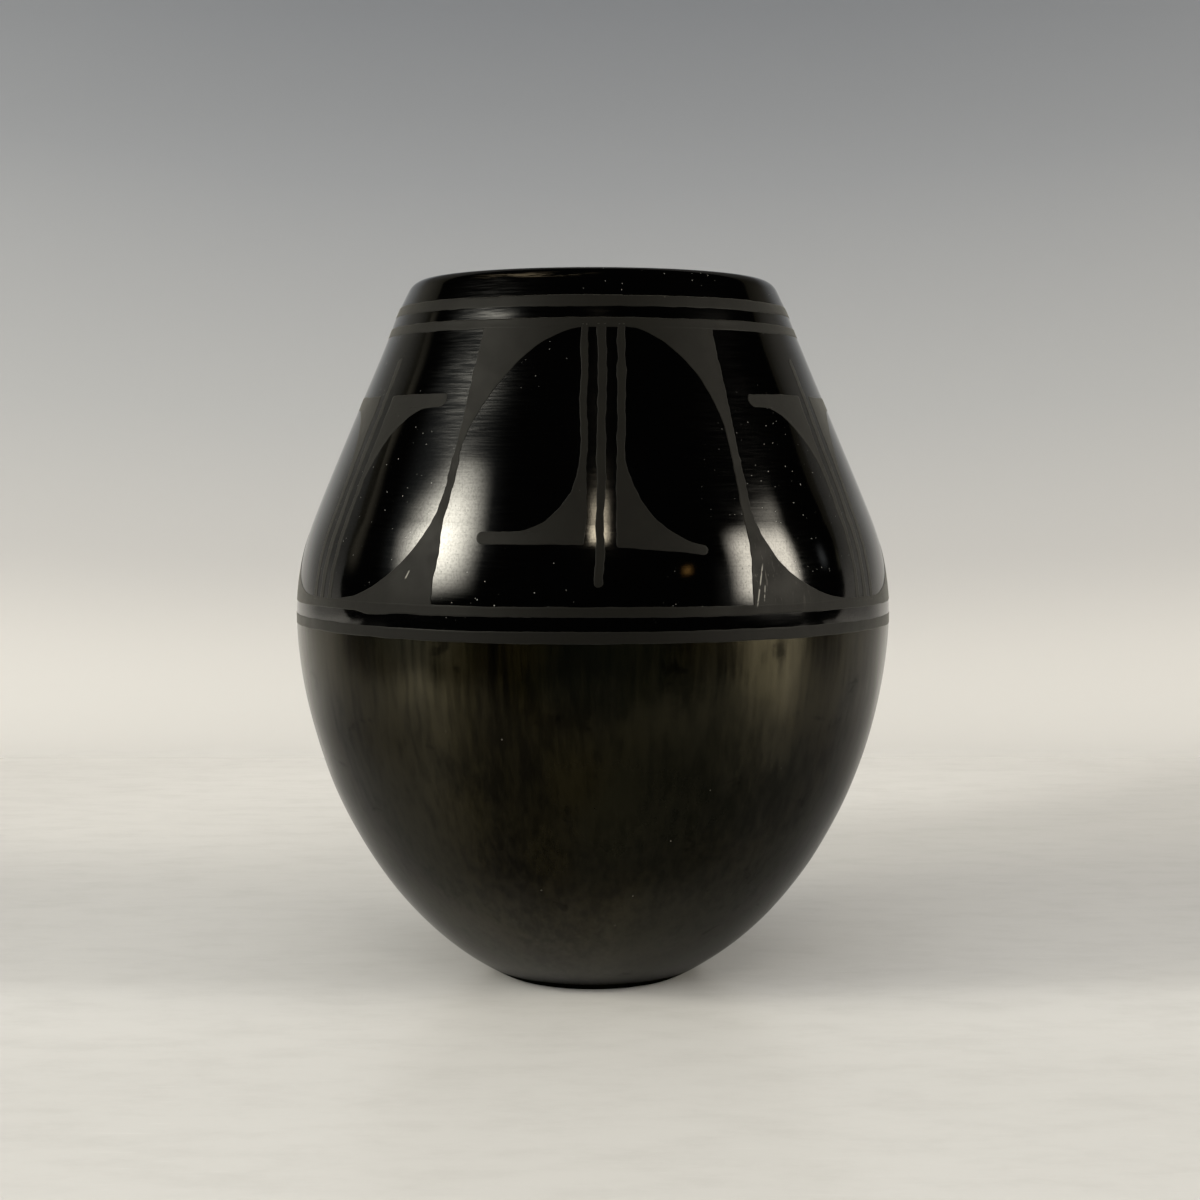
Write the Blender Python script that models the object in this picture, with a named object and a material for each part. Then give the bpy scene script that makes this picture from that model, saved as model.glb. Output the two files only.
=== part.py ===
"""Round blackware vase with a painted matt slip ornament.

The vase is built as such a pot is made by hand. Six rings of clay stand on one another: a pressed
base, four courses of wall that widen to the belly and lean in again to the neck, and a rim with a
rounded lip. Each ring laps inside the one below it in a slanting coil joint. Thin layers of matt
slip lie on the polished outside: two lines round the neck, two round the waist, and between them a
ring of panels that hold a group of three stripes, hanging from the neck and standing on the waist
in turn.

Units are metres and +Z is up. The origin is the centre of the foot, on the table. Angles go round
the axis from the front of the vase, which faces -Y, towards +X.
"""

import math

import bmesh
import bpy
import numpy as np

# Outline of the clay body
HEIGHT = 0.178
FOOT_RADIUS = 0.0237
BELLY_RADIUS = 0.076
BELLY_HEIGHT = 0.094
# Powers of the egg curve below the belly; 2 and 2 would be an ellipse
EGG_HEIGHT_POWER = 1.85
EGG_RADIUS_POWER = 1.95
SHOULDER_RADIUS = 0.0625
NECK_LEAN = math.radians(22.8)

# Clay thickness and lip
WALL_THICKNESS = 0.005
FLOOR_THICKNESS = 0.007
LIP_OUTER_RADIUS = 0.0045
# Most of the wall that the outer round of the lip may take
LIP_SHARE = 0.8

# Coil joints
BASE_JOINT_HEIGHT = 0.026
JOINT_LAP = 0.004

# Lines of slip; the inner line of each pair is the one beside the panels
OUTER_LINE_WIDTH = 0.0027
INNER_LINE_WIDTH = 0.00235
NECK_LINE_DROP = 0.00695
NECK_LINE_GAP = 0.0027
WAIST_LINE_RISE = 0.0057
WAIST_LINE_GAP = 0.00315

# Panels of slip between the lines
PANEL_PAIRS = 3
PATTERN_TURN = math.radians(0.8)
CENTRE_STRIPE_WIDTH = 0.0022
OUTER_STRIPE_WIDTH = 0.0018
STRIPE_GAP = 0.0022
FLARE_HEIGHT = 0.0185
# Power of the flare's curve; 2 would be an ellipse
FLARE_POWER = 1.8
TOE_THICKNESS = 0.0028
TOE_LENGTH = 0.003
DIVIDER_WIDTH = 0.0022
ARCH_HEIGHT = 0.026

# Bare clay left between the stripes' ends and what they point at, in each kind of panel
HANGING_SOLE_GAP = 0.0136
HANGING_TAIL_GAP = 0.0045
HANGING_TOE_GAP = 0.0096
STANDING_SOLE_GAP = 0.0152
STANDING_TAIL_GAP = 0.006
STANDING_TOE_GAP = 0.0049

# Fits
SLIP_THICKNESS = 0.0002
CLEARANCE = 0.0003

# Fineness of the faceted surfaces
SEGMENTS = 60
WALL_ROW_STEP = 0.0075
BASE_ROW_STEP = 0.0045
SLIP_ROW_STEP = 0.006
LIP_POINTS = 5
SWEPT_COLUMNS = 4
STRIPE_COLUMNS = 1
# Where along a quarter turn the rows of the curved edges lie, in degrees
FLARE_DEGREES = (0, 25, 45, 62, 75, 84)
ARCH_DEGREES = (0, 15, 30, 43, 55, 66, 75)
ROUND_END_DEGREES = (30, 55, 80)
# Where across a toe's thickness its rows lie
TOE_SHARES = (0.0, 0.25, 0.75, 1.0)
OUTLINE_STEPS = 2000
MERGE_DISTANCE = 3e-6
SHARP_ANGLE = math.radians(35)


# Outline

def egg_radius(height):
    """Outer radius below the belly: a superellipse that starts from the edge of the foot."""
    foot_share = 1 - (FOOT_RADIUS / BELLY_RADIUS) ** EGG_RADIUS_POWER
    egg_height = BELLY_HEIGHT / foot_share ** (1 / EGG_HEIGHT_POWER)
    drop = (BELLY_HEIGHT - height) / egg_height
    return BELLY_RADIUS * (1 - drop ** EGG_HEIGHT_POWER) ** (1 / EGG_RADIUS_POWER)


SHOULDER_END = BELLY_HEIGHT + SHOULDER_RADIUS * math.sin(NECK_LEAN)
CONE_START_RADIUS = BELLY_RADIUS - SHOULDER_RADIUS * (1 - math.cos(NECK_LEAN))


def outer_radius(height):
    """Outer radius at a height: egg curve, then the shoulder's arc, then a cone that leans in."""
    if height <= BELLY_HEIGHT:
        return egg_radius(height)
    if height <= SHOULDER_END:
        rise = height - BELLY_HEIGHT
        return BELLY_RADIUS - SHOULDER_RADIUS + math.sqrt(SHOULDER_RADIUS ** 2 - rise ** 2)
    return CONE_START_RADIUS - (height - SHOULDER_END) * math.tan(NECK_LEAN)


def outline():
    """Points (radius, height) up the outside, and the outward normal at each."""
    heights = np.linspace(0.0, HEIGHT, OUTLINE_STEPS)
    radii = np.array([outer_radius(height) for height in heights])
    slope_radius = np.gradient(radii)
    slope_height = np.gradient(heights)
    length = np.hypot(slope_radius, slope_height)
    normals = np.stack([slope_height / length, -slope_radius / length], axis=1)
    return np.stack([radii, heights], axis=1), normals


OUTLINE_POINTS, OUTLINE_NORMALS = outline()
INSIDE_POINTS = OUTLINE_POINTS - WALL_THICKNESS * OUTLINE_NORMALS


def inner_radius(height):
    """Inner radius at a height, a wall thickness inside the outline."""
    return float(np.interp(height, INSIDE_POINTS[:, 1], INSIDE_POINTS[:, 0]))


def outward_normal(height):
    """Outward normal (radius, height) of the outside at a height."""
    radial = np.interp(height, OUTLINE_POINTS[:, 1], OUTLINE_NORMALS[:, 0])
    vertical = np.interp(height, OUTLINE_POINTS[:, 1], OUTLINE_NORMALS[:, 1])
    return float(radial), float(vertical)


# Lip: an outer round and a smaller inner one, which meet level at the top

LEAN_SINE = math.sin(NECK_LEAN)
LEAN_COSINE = math.cos(NECK_LEAN)
LIP_OUTER_ROUND = min(LIP_OUTER_RADIUS, LIP_SHARE * WALL_THICKNESS / (1 - LEAN_SINE))
LIP_INNER_ROUND = (WALL_THICKNESS - LIP_OUTER_ROUND * (1 - LEAN_SINE)) / (1 + LEAN_SINE)


def lip_points():
    """Points (radius, height) over the lip, from the outside of the cone to the inside."""
    centre_height = HEIGHT - LIP_OUTER_ROUND
    touch_height = centre_height + LIP_OUTER_ROUND * LEAN_SINE
    centre_radius = outer_radius(touch_height) - LIP_OUTER_ROUND * LEAN_COSINE
    points = []
    for angle in np.linspace(NECK_LEAN, math.pi / 2, LIP_POINTS):
        points.append((centre_radius + LIP_OUTER_ROUND * math.cos(angle),
                       centre_height + LIP_OUTER_ROUND * math.sin(angle)))
    inner_centre_height = HEIGHT - LIP_INNER_ROUND
    for angle in np.linspace(math.pi / 2, math.pi + NECK_LEAN, LIP_POINTS)[1:]:
        points.append((centre_radius + LIP_INNER_ROUND * math.cos(angle),
                       inner_centre_height + LIP_INNER_ROUND * math.sin(angle)))
    return points


# Heights of the lines, and of the joints: two lie under a line, and two halve the walls between

NECK_OUTER_LINE = (HEIGHT - NECK_LINE_DROP - OUTER_LINE_WIDTH, HEIGHT - NECK_LINE_DROP)
NECK_INNER_TOP = NECK_OUTER_LINE[0] - NECK_LINE_GAP
NECK_INNER_LINE = (NECK_INNER_TOP - INNER_LINE_WIDTH, NECK_INNER_TOP)
WAIST_INNER_TOP = BELLY_HEIGHT + WAIST_LINE_RISE
WAIST_INNER_LINE = (WAIST_INNER_TOP - INNER_LINE_WIDTH, WAIST_INNER_TOP)
WAIST_OUTER_TOP = WAIST_INNER_LINE[0] - WAIST_LINE_GAP
WAIST_OUTER_LINE = (WAIST_OUTER_TOP - OUTER_LINE_WIDTH, WAIST_OUTER_TOP)
WAIST_JOINT_HEIGHT = sum(WAIST_OUTER_LINE) / 2
RIM_JOINT_HEIGHT = sum(NECK_INNER_LINE) / 2
BELLY_JOINT_HEIGHT = (BASE_JOINT_HEIGHT + WAIST_JOINT_HEIGHT) / 2
NECK_JOINT_HEIGHT = (WAIST_JOINT_HEIGHT + RIM_JOINT_HEIGHT) / 2


def joint_gap(height):
    """Upright gap in a coil joint that leaves the clearance square to its slanting faces."""
    width = outer_radius(height) - inner_radius(height - JOINT_LAP)
    return CLEARANCE * math.hypot(width, JOINT_LAP) / width


def rows(start, end, longest_step):
    """Heights from start to end in equal steps, none longer than the one given."""
    count = math.ceil(abs(end - start) / longest_step)
    return [float(value) for value in np.linspace(start, end, max(count, 1) + 1)]


def wall_section(low_joint, high_joint):
    """Section of a wall ring between two coil joints, as (radius, height) points."""
    low = low_joint + joint_gap(low_joint)
    outside = rows(low, high_joint, WALL_ROW_STEP)
    inside = rows(high_joint - JOINT_LAP, low - JOINT_LAP, WALL_ROW_STEP)
    return [(outer_radius(h), h) for h in outside] + [(inner_radius(h), h) for h in inside]


def base_section():
    """Section of the base from the axis under the foot round to the axis on the floor."""
    section = [(0.0, 0.0)]
    section += [(outer_radius(h), h) for h in rows(0.0, BASE_JOINT_HEIGHT, BASE_ROW_STEP)]
    inside = rows(BASE_JOINT_HEIGHT - JOINT_LAP, FLOOR_THICKNESS, BASE_ROW_STEP)
    section += [(inner_radius(h), h) for h in inside]
    section.append((0.0, FLOOR_THICKNESS))
    return section


def rim_section():
    """Section of the rim: up the outside, over the lip, down the inside to the coil joint."""
    gap = joint_gap(RIM_JOINT_HEIGHT)
    low = RIM_JOINT_HEIGHT + gap
    inner_low = low - JOINT_LAP
    return [(outer_radius(low), low)] + lip_points() + [(inner_radius(inner_low), inner_low)]


# Mesh building

def surface_point(angle, height, standoff):
    """Point in space off the outside of the wall, along its normal."""
    radial, vertical = outward_normal(height)
    radius = outer_radius(height) + standoff * radial
    return (radius * math.sin(angle), -radius * math.cos(angle), height + standoff * vertical)


def add_object(name, mesh, material):
    """Smooth, link and return an object that holds a mesh."""
    mesh.shade_smooth()
    mesh.set_sharp_from_angle(angle=SHARP_ANGLE)
    mesh.materials.append(material)
    placed = bpy.data.objects.new(name, mesh)
    bpy.context.scene.collection.objects.link(placed)
    return placed


def turned_ring(name, section, material):
    """Solid turned round the axis from a closed section, or from one that ends on the axis."""
    shape = bmesh.new()
    corners = [shape.verts.new((radius, 0.0, height)) for radius, height in section]
    edges = [shape.edges.new(pair) for pair in zip(corners, corners[1:])]
    if section[0][0] > 0:
        edges.append(shape.edges.new((corners[-1], corners[0])))
    bmesh.ops.spin(shape, geom=corners + edges, cent=(0, 0, 0), axis=(0, 0, 1),
                   angle=math.tau, steps=SEGMENTS, use_merge=True)
    bmesh.ops.remove_doubles(shape, verts=shape.verts[:], dist=MERGE_DISTANCE)
    bmesh.ops.recalc_face_normals(shape, faces=shape.faces[:])
    mesh = bpy.data.meshes.new(name)
    shape.to_mesh(mesh)
    shape.free()
    return add_object(name, mesh, material)


def filled_rows(heights):
    """Sorted heights, with more between any two that lie further apart than a slip row's step."""
    heights = sorted(heights)
    filled = heights[:1]
    for low, high in zip(heights, heights[1:]):
        filled += rows(low, high, SLIP_ROW_STEP)[1:]
    return filled


def slip_layer(name, heights, left_angles, right_angles, columns, material):
    """Layer of slip on the wall between two edges, whose angles go with the heights of its rows.

    The columns share the width between the edges. A Solidify modifier gives the sheet its
    thickness, away from the wall.
    """
    points = []
    for height, left, right in zip(heights, left_angles, right_angles):
        for angle in np.linspace(left, right, columns + 1):
            points.append(surface_point(float(angle), height, CLEARANCE))
    faces = []
    for row in range(len(heights) - 1):
        for column in range(columns):
            first = row * (columns + 1) + column
            above = first + columns + 1
            faces.append((first, first + 1, above + 1, above))
    mesh = bpy.data.meshes.new(name)
    mesh.from_pydata(points, [], faces)
    return thicken(add_object(name, mesh, material))


def slip_line(name, span, material):
    """Line of slip that runs right round the vase between two heights."""
    points = []
    for height in span:
        for step in range(SEGMENTS):
            points.append(surface_point(math.tau * step / SEGMENTS, height, CLEARANCE))
    faces = []
    for step in range(SEGMENTS):
        beside = (step + 1) % SEGMENTS
        faces.append((step, beside, beside + SEGMENTS, step + SEGMENTS))
    mesh = bpy.data.meshes.new(name)
    mesh.from_pydata(points, [], faces)
    return thicken(add_object(name, mesh, material))


def thicken(sheet):
    """Give a sheet of slip its thickness with a Solidify modifier, outwards."""
    solid = sheet.modifiers.new("slip thickness", "SOLIDIFY")
    solid.thickness = SLIP_THICKNESS
    solid.offset = 1.0
    return sheet


# Ornament

PANEL_ANGLE = math.pi / PANEL_PAIRS
PANEL_TOP = NECK_INNER_LINE[0]
PANEL_BOTTOM = WAIST_INNER_LINE[1]
PANEL_DEPTH = PANEL_TOP - PANEL_BOTTOM
OUTER_STRIPE_START = CENTRE_STRIPE_WIDTH / 2 + STRIPE_GAP
OUTER_STRIPE_END = OUTER_STRIPE_START + OUTER_STRIPE_WIDTH
TOE_ROUND = TOE_THICKNESS / 2


class Panel:
    """One panel, whose stripes hang from the neck or stand on the waist.

    Depth is measured from the line that the stripes start at, towards the far line.
    """

    def __init__(self, number):
        self.number = number
        self.centre = PATTERN_TURN + (number - 1) * PANEL_ANGLE
        self.hangs = number % 2 == 1
        self.toe_gap = HANGING_TOE_GAP if self.hangs else STANDING_TOE_GAP
        self.sole_depth = PANEL_DEPTH - (HANGING_SOLE_GAP if self.hangs else STANDING_SOLE_GAP)
        self.tail_depth = PANEL_DEPTH - (HANGING_TAIL_GAP if self.hangs else STANDING_TAIL_GAP)
        self.toe_top_depth = self.sole_depth - TOE_THICKNESS
        self.flare_start_depth = self.toe_top_depth - FLARE_HEIGHT

    def angle(self, distance, height):
        """Angle of a point that lies a distance round the wall from the panel's centre line."""
        return self.centre + distance / outer_radius(height)

    def height(self, depth):
        """Height above the table at a depth into the panel."""
        return PANEL_TOP - depth if self.hangs else PANEL_BOTTOM + depth

    def depth(self, height):
        """Depth into the panel at a height above the table."""
        return PANEL_TOP - height if self.hangs else height - PANEL_BOTTOM

    def toe_reach(self):
        """Distance round the wall from the panel's centre to the end of a toe."""
        radius = outer_radius(self.height(self.toe_top_depth + TOE_ROUND))
        return radius * PANEL_ANGLE / 2 - DIVIDER_WIDTH / 2 - self.toe_gap

    def outer_edge(self, depth):
        """Distance from the panel's centre to a flared stripe's outer edge.

        Straight, then a quarter of a superellipse that sweeps out to the toe, then the toe's round
        end.
        """
        if depth <= self.flare_start_depth:
            return OUTER_STRIPE_END
        flare_end = self.toe_reach() - TOE_LENGTH
        if depth < self.toe_top_depth:
            share = (depth - self.flare_start_depth) / FLARE_HEIGHT
            width_left = (1 - share ** FLARE_POWER) ** (1 / FLARE_POWER)
            return flare_end - (flare_end - OUTER_STRIPE_END) * width_left
        across = depth - self.toe_top_depth - TOE_ROUND
        return self.toe_reach() - TOE_ROUND + math.sqrt(max(TOE_ROUND ** 2 - across ** 2, 0.0))

    def flared_stripe_depths(self):
        """Depths of the rows of a flared stripe, closer together where its edge curves."""
        bends = [self.flare_start_depth + FLARE_HEIGHT * math.sin(math.radians(degrees))
                 for degrees in FLARE_DEGREES]
        toe = [self.toe_top_depth + TOE_THICKNESS * share for share in TOE_SHARES]
        return [CLEARANCE] + bends + toe

    def centre_stripe_depths(self):
        """Depths of the rows of the centre stripe, with its end rounded."""
        half_width = CENTRE_STRIPE_WIDTH / 2
        round_start = self.tail_depth - half_width
        return [CLEARANCE, round_start] + [
            round_start + half_width * math.sin(math.radians(degrees))
            for degrees in ROUND_END_DEGREES]

    def centre_half_width(self, depth):
        """Half width of the centre stripe, which narrows over its rounded end."""
        into_round = depth - (self.tail_depth - CENTRE_STRIPE_WIDTH / 2)
        if into_round <= 0:
            return CENTRE_STRIPE_WIDTH / 2
        return math.sqrt(CENTRE_STRIPE_WIDTH ** 2 / 4 - into_round ** 2)

    def build(self, material):
        """Make the panel's three stripes."""
        depths = self.flared_stripe_depths()
        heights = filled_rows([self.height(depth) for depth in depths])
        for side, name in ((-1, "left"), (1, "right")):
            inner = [self.angle(side * OUTER_STRIPE_START, height) for height in heights]
            outer = [self.angle(side * self.outer_edge(self.depth(height)), height)
                     for height in heights]
            edges = (outer, inner) if side < 0 else (inner, outer)
            slip_layer(f"flared_stripe_{self.number}_{name}", heights, *edges,
                       SWEPT_COLUMNS, material)

        depths = self.centre_stripe_depths()
        heights = filled_rows([self.height(depth) for depth in depths])
        half_widths = [self.centre_half_width(self.depth(height)) for height in heights]
        left = [self.angle(-half, height) for half, height in zip(half_widths, heights)]
        right = [self.angle(half, height) for half, height in zip(half_widths, heights)]
        slip_layer(f"centre_stripe_{self.number}", heights, left, right,
                   STRIPE_COLUMNS, material)


def arch_extent(panel, height):
    """Angle that a divider sweeps out into a panel at a height, under the panel's arch.

    The arch is a quarter of an ellipse. It leaves the divider's edge at the arch's foot and comes
    level at the line that the stripes start at, beside the outer stripe.
    """
    depth = panel.depth(height)
    if depth >= ARCH_HEIGHT:
        return 0.0
    start_radius = outer_radius(panel.height(0.0))
    stripe_edge = (OUTER_STRIPE_END + CLEARANCE + DIVIDER_WIDTH / 2) / start_radius
    share = 1 - depth / ARCH_HEIGHT
    return (PANEL_ANGLE / 2 - stripe_edge) * (1 - math.sqrt(1 - share ** 2))


def divider(number, left_panel, right_panel, material):
    """Figure between two panels: a thin upright that sweeps out under both their arches."""
    boundary = (left_panel.centre + right_panel.centre) / 2
    depths = [ARCH_HEIGHT * (1 - math.sin(math.radians(degrees)))
              for degrees in ARCH_DEGREES]
    depths.append(CLEARANCE)
    heights = filled_rows([panel.height(depth) for panel in (left_panel, right_panel)
                           for depth in depths])
    half_widths = [DIVIDER_WIDTH / 2 / outer_radius(height) for height in heights]
    left = [boundary - half - arch_extent(left_panel, height)
            for half, height in zip(half_widths, heights)]
    right = [boundary + half + arch_extent(right_panel, height)
             for half, height in zip(half_widths, heights)]
    slip_layer(f"divider_{number}", heights, left, right, SWEPT_COLUMNS, material)


# Finishes

def fired_clay(name, colour, roughness):
    """Principled material of fired clay, black from a smothered fire."""
    material = bpy.data.materials.new(name)
    material.use_nodes = True
    shader = material.node_tree.nodes["Principled BSDF"]
    shader.inputs["Base Color"].default_value = (*colour, 1.0)
    shader.inputs["Roughness"].default_value = roughness
    shader.inputs["Metallic"].default_value = 0.0
    return material


def build_vase():
    """Build the clay rings, then the slip on them."""
    for old in list(bpy.data.objects):
        bpy.data.objects.remove(old, do_unlink=True)

    satin = fired_clay("satin burnished clay", (0.007, 0.0065, 0.005), 0.32)
    mirror = fired_clay("mirror burnished clay", (0.003, 0.003, 0.0028), 0.1)
    slip = fired_clay("matt slip", (0.026, 0.025, 0.023), 0.75)

    turned_ring("base", base_section(), satin)
    turned_ring("lower_wall", wall_section(BASE_JOINT_HEIGHT, BELLY_JOINT_HEIGHT), satin)
    turned_ring("belly_wall", wall_section(BELLY_JOINT_HEIGHT, WAIST_JOINT_HEIGHT), satin)
    turned_ring("shoulder_wall", wall_section(WAIST_JOINT_HEIGHT, NECK_JOINT_HEIGHT), mirror)
    turned_ring("neck_wall", wall_section(NECK_JOINT_HEIGHT, RIM_JOINT_HEIGHT), mirror)
    turned_ring("rim", rim_section(), mirror)

    slip_line("neck_line_upper", NECK_OUTER_LINE, slip)
    slip_line("neck_line_lower", NECK_INNER_LINE, slip)
    slip_line("waist_line_upper", WAIST_INNER_LINE, slip)
    slip_line("waist_line_lower", WAIST_OUTER_LINE, slip)

    for number in range(1, 2 * PANEL_PAIRS + 1):
        panel = Panel(number)
        panel.build(slip)
        divider(number, panel, Panel(number + 1), slip)


build_vase()
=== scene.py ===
"""Round blackware vase, dressed for its portrait: burnished clay, matt slip, table and light.

The clay is one turned surface, a section carried round the axis, with the slow unevenness of a
coiled pot. Every figure of slip is a thin sheet that hugs this surface, with edges that waver as a
brush does. Lengths are in metres and angles in radians unless a name says degrees. Angles go round
the axis from the front of the vase, which faces -Y, towards +X.
"""

import logging
import math
from dataclasses import dataclass, field
from enum import Enum
from typing import Optional

import bpy
import numpy as np
from mathutils import Matrix, Vector


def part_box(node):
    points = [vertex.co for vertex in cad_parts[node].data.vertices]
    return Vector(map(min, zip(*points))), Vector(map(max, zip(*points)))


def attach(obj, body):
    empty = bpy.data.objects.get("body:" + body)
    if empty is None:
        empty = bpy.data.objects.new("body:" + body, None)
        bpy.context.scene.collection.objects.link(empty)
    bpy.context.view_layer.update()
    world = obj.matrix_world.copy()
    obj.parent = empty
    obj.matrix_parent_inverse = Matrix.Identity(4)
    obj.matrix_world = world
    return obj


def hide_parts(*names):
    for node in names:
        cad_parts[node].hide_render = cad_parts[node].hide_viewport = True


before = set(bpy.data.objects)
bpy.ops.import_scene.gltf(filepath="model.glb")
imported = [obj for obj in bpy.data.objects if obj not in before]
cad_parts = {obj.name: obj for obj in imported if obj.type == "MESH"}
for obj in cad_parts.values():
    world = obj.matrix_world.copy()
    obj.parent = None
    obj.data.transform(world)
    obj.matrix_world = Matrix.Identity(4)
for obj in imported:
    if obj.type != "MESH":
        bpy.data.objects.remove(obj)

log = logging.getLogger("vase")

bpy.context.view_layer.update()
BODY = "root"

# How far the polish runs down the inside, below the rim's joint
INNER_POLISH = 0.006

# Shorter names of types: a node's socket, a colour with its alpha, the two ends of a range, a
# number for each axis, and specks by their cells per metre, their size and their share
Socket = bpy.types.NodeSocket
Colour = tuple[float, float, float, float]
Ends = tuple[float, float]
Stretch = tuple[float, float, float]
Specks = tuple[float, float, float]


# Shape of the clay


@dataclass(frozen=True)
class Press:
    """Smooth step that a hand left on the neck: outwards where its size is positive."""

    height: float
    spread: float
    size: float


@dataclass
class ClaySection:
    """Section of the pot, from the axis under the foot, up the outside and down the inside.

    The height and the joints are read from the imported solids, and the rest repeats the curves
    that they are turned from. The line holds points (radius, height), and the run is the distance
    of each from the first.
    """

    foot_radius: float = 0.0237
    belly_height: float = 0.094
    belly_radius: float = 0.076
    egg_height_power: float = 1.85
    egg_radius_power: float = 1.95
    shoulder_radius: float = 0.0625
    neck_lean: float = math.radians(22.8)
    wall: float = 0.005
    floor: float = 0.007
    joint_lap: float = 0.004
    foot_round: float = 0.0017
    foot_hollow: float = 0.0003
    lip_outer_round: float = 0.0045
    presses: tuple[Press, ...] = (Press(0.1205, 0.0045, 0.00020), Press(0.1340, 0.0045, -0.00008),
                                  Press(0.1668, 0.0024, 0.00027))
    roll_height: float = 0.1695
    roll_spread: float = 0.0010
    roll_lean: float = 0.075
    press_depth: float = 0.02
    outside_points: int = 4001
    foot_points: int = 40
    arc_points: int = 60
    least_step: float = 1e-7
    height: float = field(init=False)
    waist_joint: float = field(init=False)
    rim_joint: float = field(init=False)
    shoulder_end: float = field(init=False)
    cone_start: float = field(init=False)
    line: np.ndarray = field(init=False)
    run: np.ndarray = field(init=False)
    lip_top_run: float = field(init=False)
    outside_start: float = field(init=False)

    def __post_init__(self) -> None:
        """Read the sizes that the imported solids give, then lay out the section."""
        self.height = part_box("rim")[1].z
        self.waist_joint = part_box("belly_wall")[1].z
        self.rim_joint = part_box("neck_wall")[1].z
        self.shoulder_end = self.belly_height + self.shoulder_radius * math.sin(self.neck_lean)
        self.cone_start = self.belly_radius - self.shoulder_radius * (1 - math.cos(self.neck_lean))
        self._lay_out()

    def outer_radius(self, height: np.ndarray) -> np.ndarray:
        """Outer radius: a superellipse up to the belly, then an arc, then a straight lean.

        Args:
            height: heights above the table.

        Returns:
            The radius at each height.
        """
        height = np.asarray(height, float)
        foot_share = 1 - (self.foot_radius / self.belly_radius) ** self.egg_radius_power
        egg_height = self.belly_height / foot_share ** (1 / self.egg_height_power)
        drop = np.clip((self.belly_height - height) / egg_height, 0, 1)
        egg = self.belly_radius * (1 - drop ** self.egg_height_power) ** (1 / self.egg_radius_power)
        rise = np.clip(height - self.belly_height, 0, self.shoulder_radius)
        arc = (self.belly_radius - self.shoulder_radius
               + np.sqrt(self.shoulder_radius ** 2 - rise ** 2))
        cone = self.cone_start - (height - self.shoulder_end) * math.tan(self.neck_lean)
        return np.where(height <= self.belly_height, egg,
                        np.where(height <= self.shoulder_end, arc, cone))

    def neck_press(self, height: np.ndarray) -> np.ndarray:
        """How far the hand left the neck off its straight lean.

        Each press is a smooth step outwards, by half its size times one plus a hyperbolic tangent
        of the height. Near the top a soft knee rolls the wall in towards the lip.
        """
        swell = sum(0.5 * press.size * (1 + np.tanh((height - press.height) / press.spread))
                    for press in self.presses)
        above = (height - self.roll_height) / self.roll_spread
        roll = self.roll_lean * self.roll_spread * np.logaddexp(0, above)
        return swell - roll

    def _foot(self, start: np.ndarray, normal: np.ndarray) -> tuple[np.ndarray, np.ndarray]:
        """Sole and rounded edge of the foot.

        The sole is a raised cosine, highest on the axis. The edge is an arc from the table to the
        outside.

        Args:
            start: radius and height at which the outside starts.
            normal: the outside's unit normal there.

        Returns:
            The points of the sole and those of the edge.
        """
        centre = start[0] - self.foot_round * normal[0]
        turn = np.linspace(-math.pi / 2, math.atan2(normal[1], normal[0]), self.foot_points)
        edge = np.stack([centre + self.foot_round * np.cos(turn),
                         self.foot_round * (1 + np.sin(turn))], axis=1)
        under = np.linspace(0, centre, self.arc_points, endpoint=False)
        hollow = self.foot_hollow * 0.5 * (1 + np.cos(math.pi * under / centre))
        return np.stack([under, hollow], axis=1), edge

    def _lip(self) -> tuple[np.ndarray, float]:
        """Lip: an arc up from the lean of the outside, then a smaller one down to the inside.

        Returns:
            The points, and the height at which the lip leaves the outside.
        """
        lean = self.neck_lean
        outer_round = self.lip_outer_round
        inner_round = (self.wall - outer_round * (1 - math.sin(lean))) / (1 + math.sin(lean))
        centre_height = self.height - outer_round
        touch = centre_height + outer_round * math.sin(lean)
        centre = float(self.outer_radius(touch)) - outer_round * math.cos(lean)
        outer_turn = np.linspace(lean, math.pi / 2, self.arc_points)
        inner_turn = np.linspace(math.pi / 2, math.pi + lean, self.arc_points)[1:]
        outer = np.stack([centre + outer_round * np.cos(outer_turn),
                          centre_height + outer_round * np.sin(outer_turn)], axis=1)
        inner = np.stack([centre + inner_round * np.cos(inner_turn),
                          self.height - inner_round * (1 - np.sin(inner_turn))], axis=1)
        return np.concatenate([outer, inner]), touch

    def _lay_out(self) -> None:
        """Join the foot, the outside, the lip, the inside and the floor into one line of points.

        The inside is the outside offset inwards by the wall. A round of the foot's radius touches
        both the table and the outside. The floor is level. The presses of the hand move the whole
        outside, and the inside only near the lip.
        """
        heights = np.linspace(0, self.height, self.outside_points)
        radii = self.outer_radius(heights)
        normals = _normals_of(radii, heights)
        outline = np.stack([radii, heights], axis=1)
        first = int(np.argmax(heights - self.foot_round * normals[:, 1] >= self.foot_round))
        sole, foot = self._foot(outline[first], normals[first])
        lip, touch = self._lip()

        inside = outline - self.wall * normals
        inside = inside[(inside[:, 1] < lip[-1, 1]) & (inside[:, 1] > self.floor)][::-1]
        outside = outline[first:]
        outside = outside[outside[:, 1] < touch]
        across = np.linspace(inside[-1, 0], 0, self.arc_points)[1:]
        floor = np.stack([across, np.full_like(across, self.floor)], axis=1)

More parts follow.
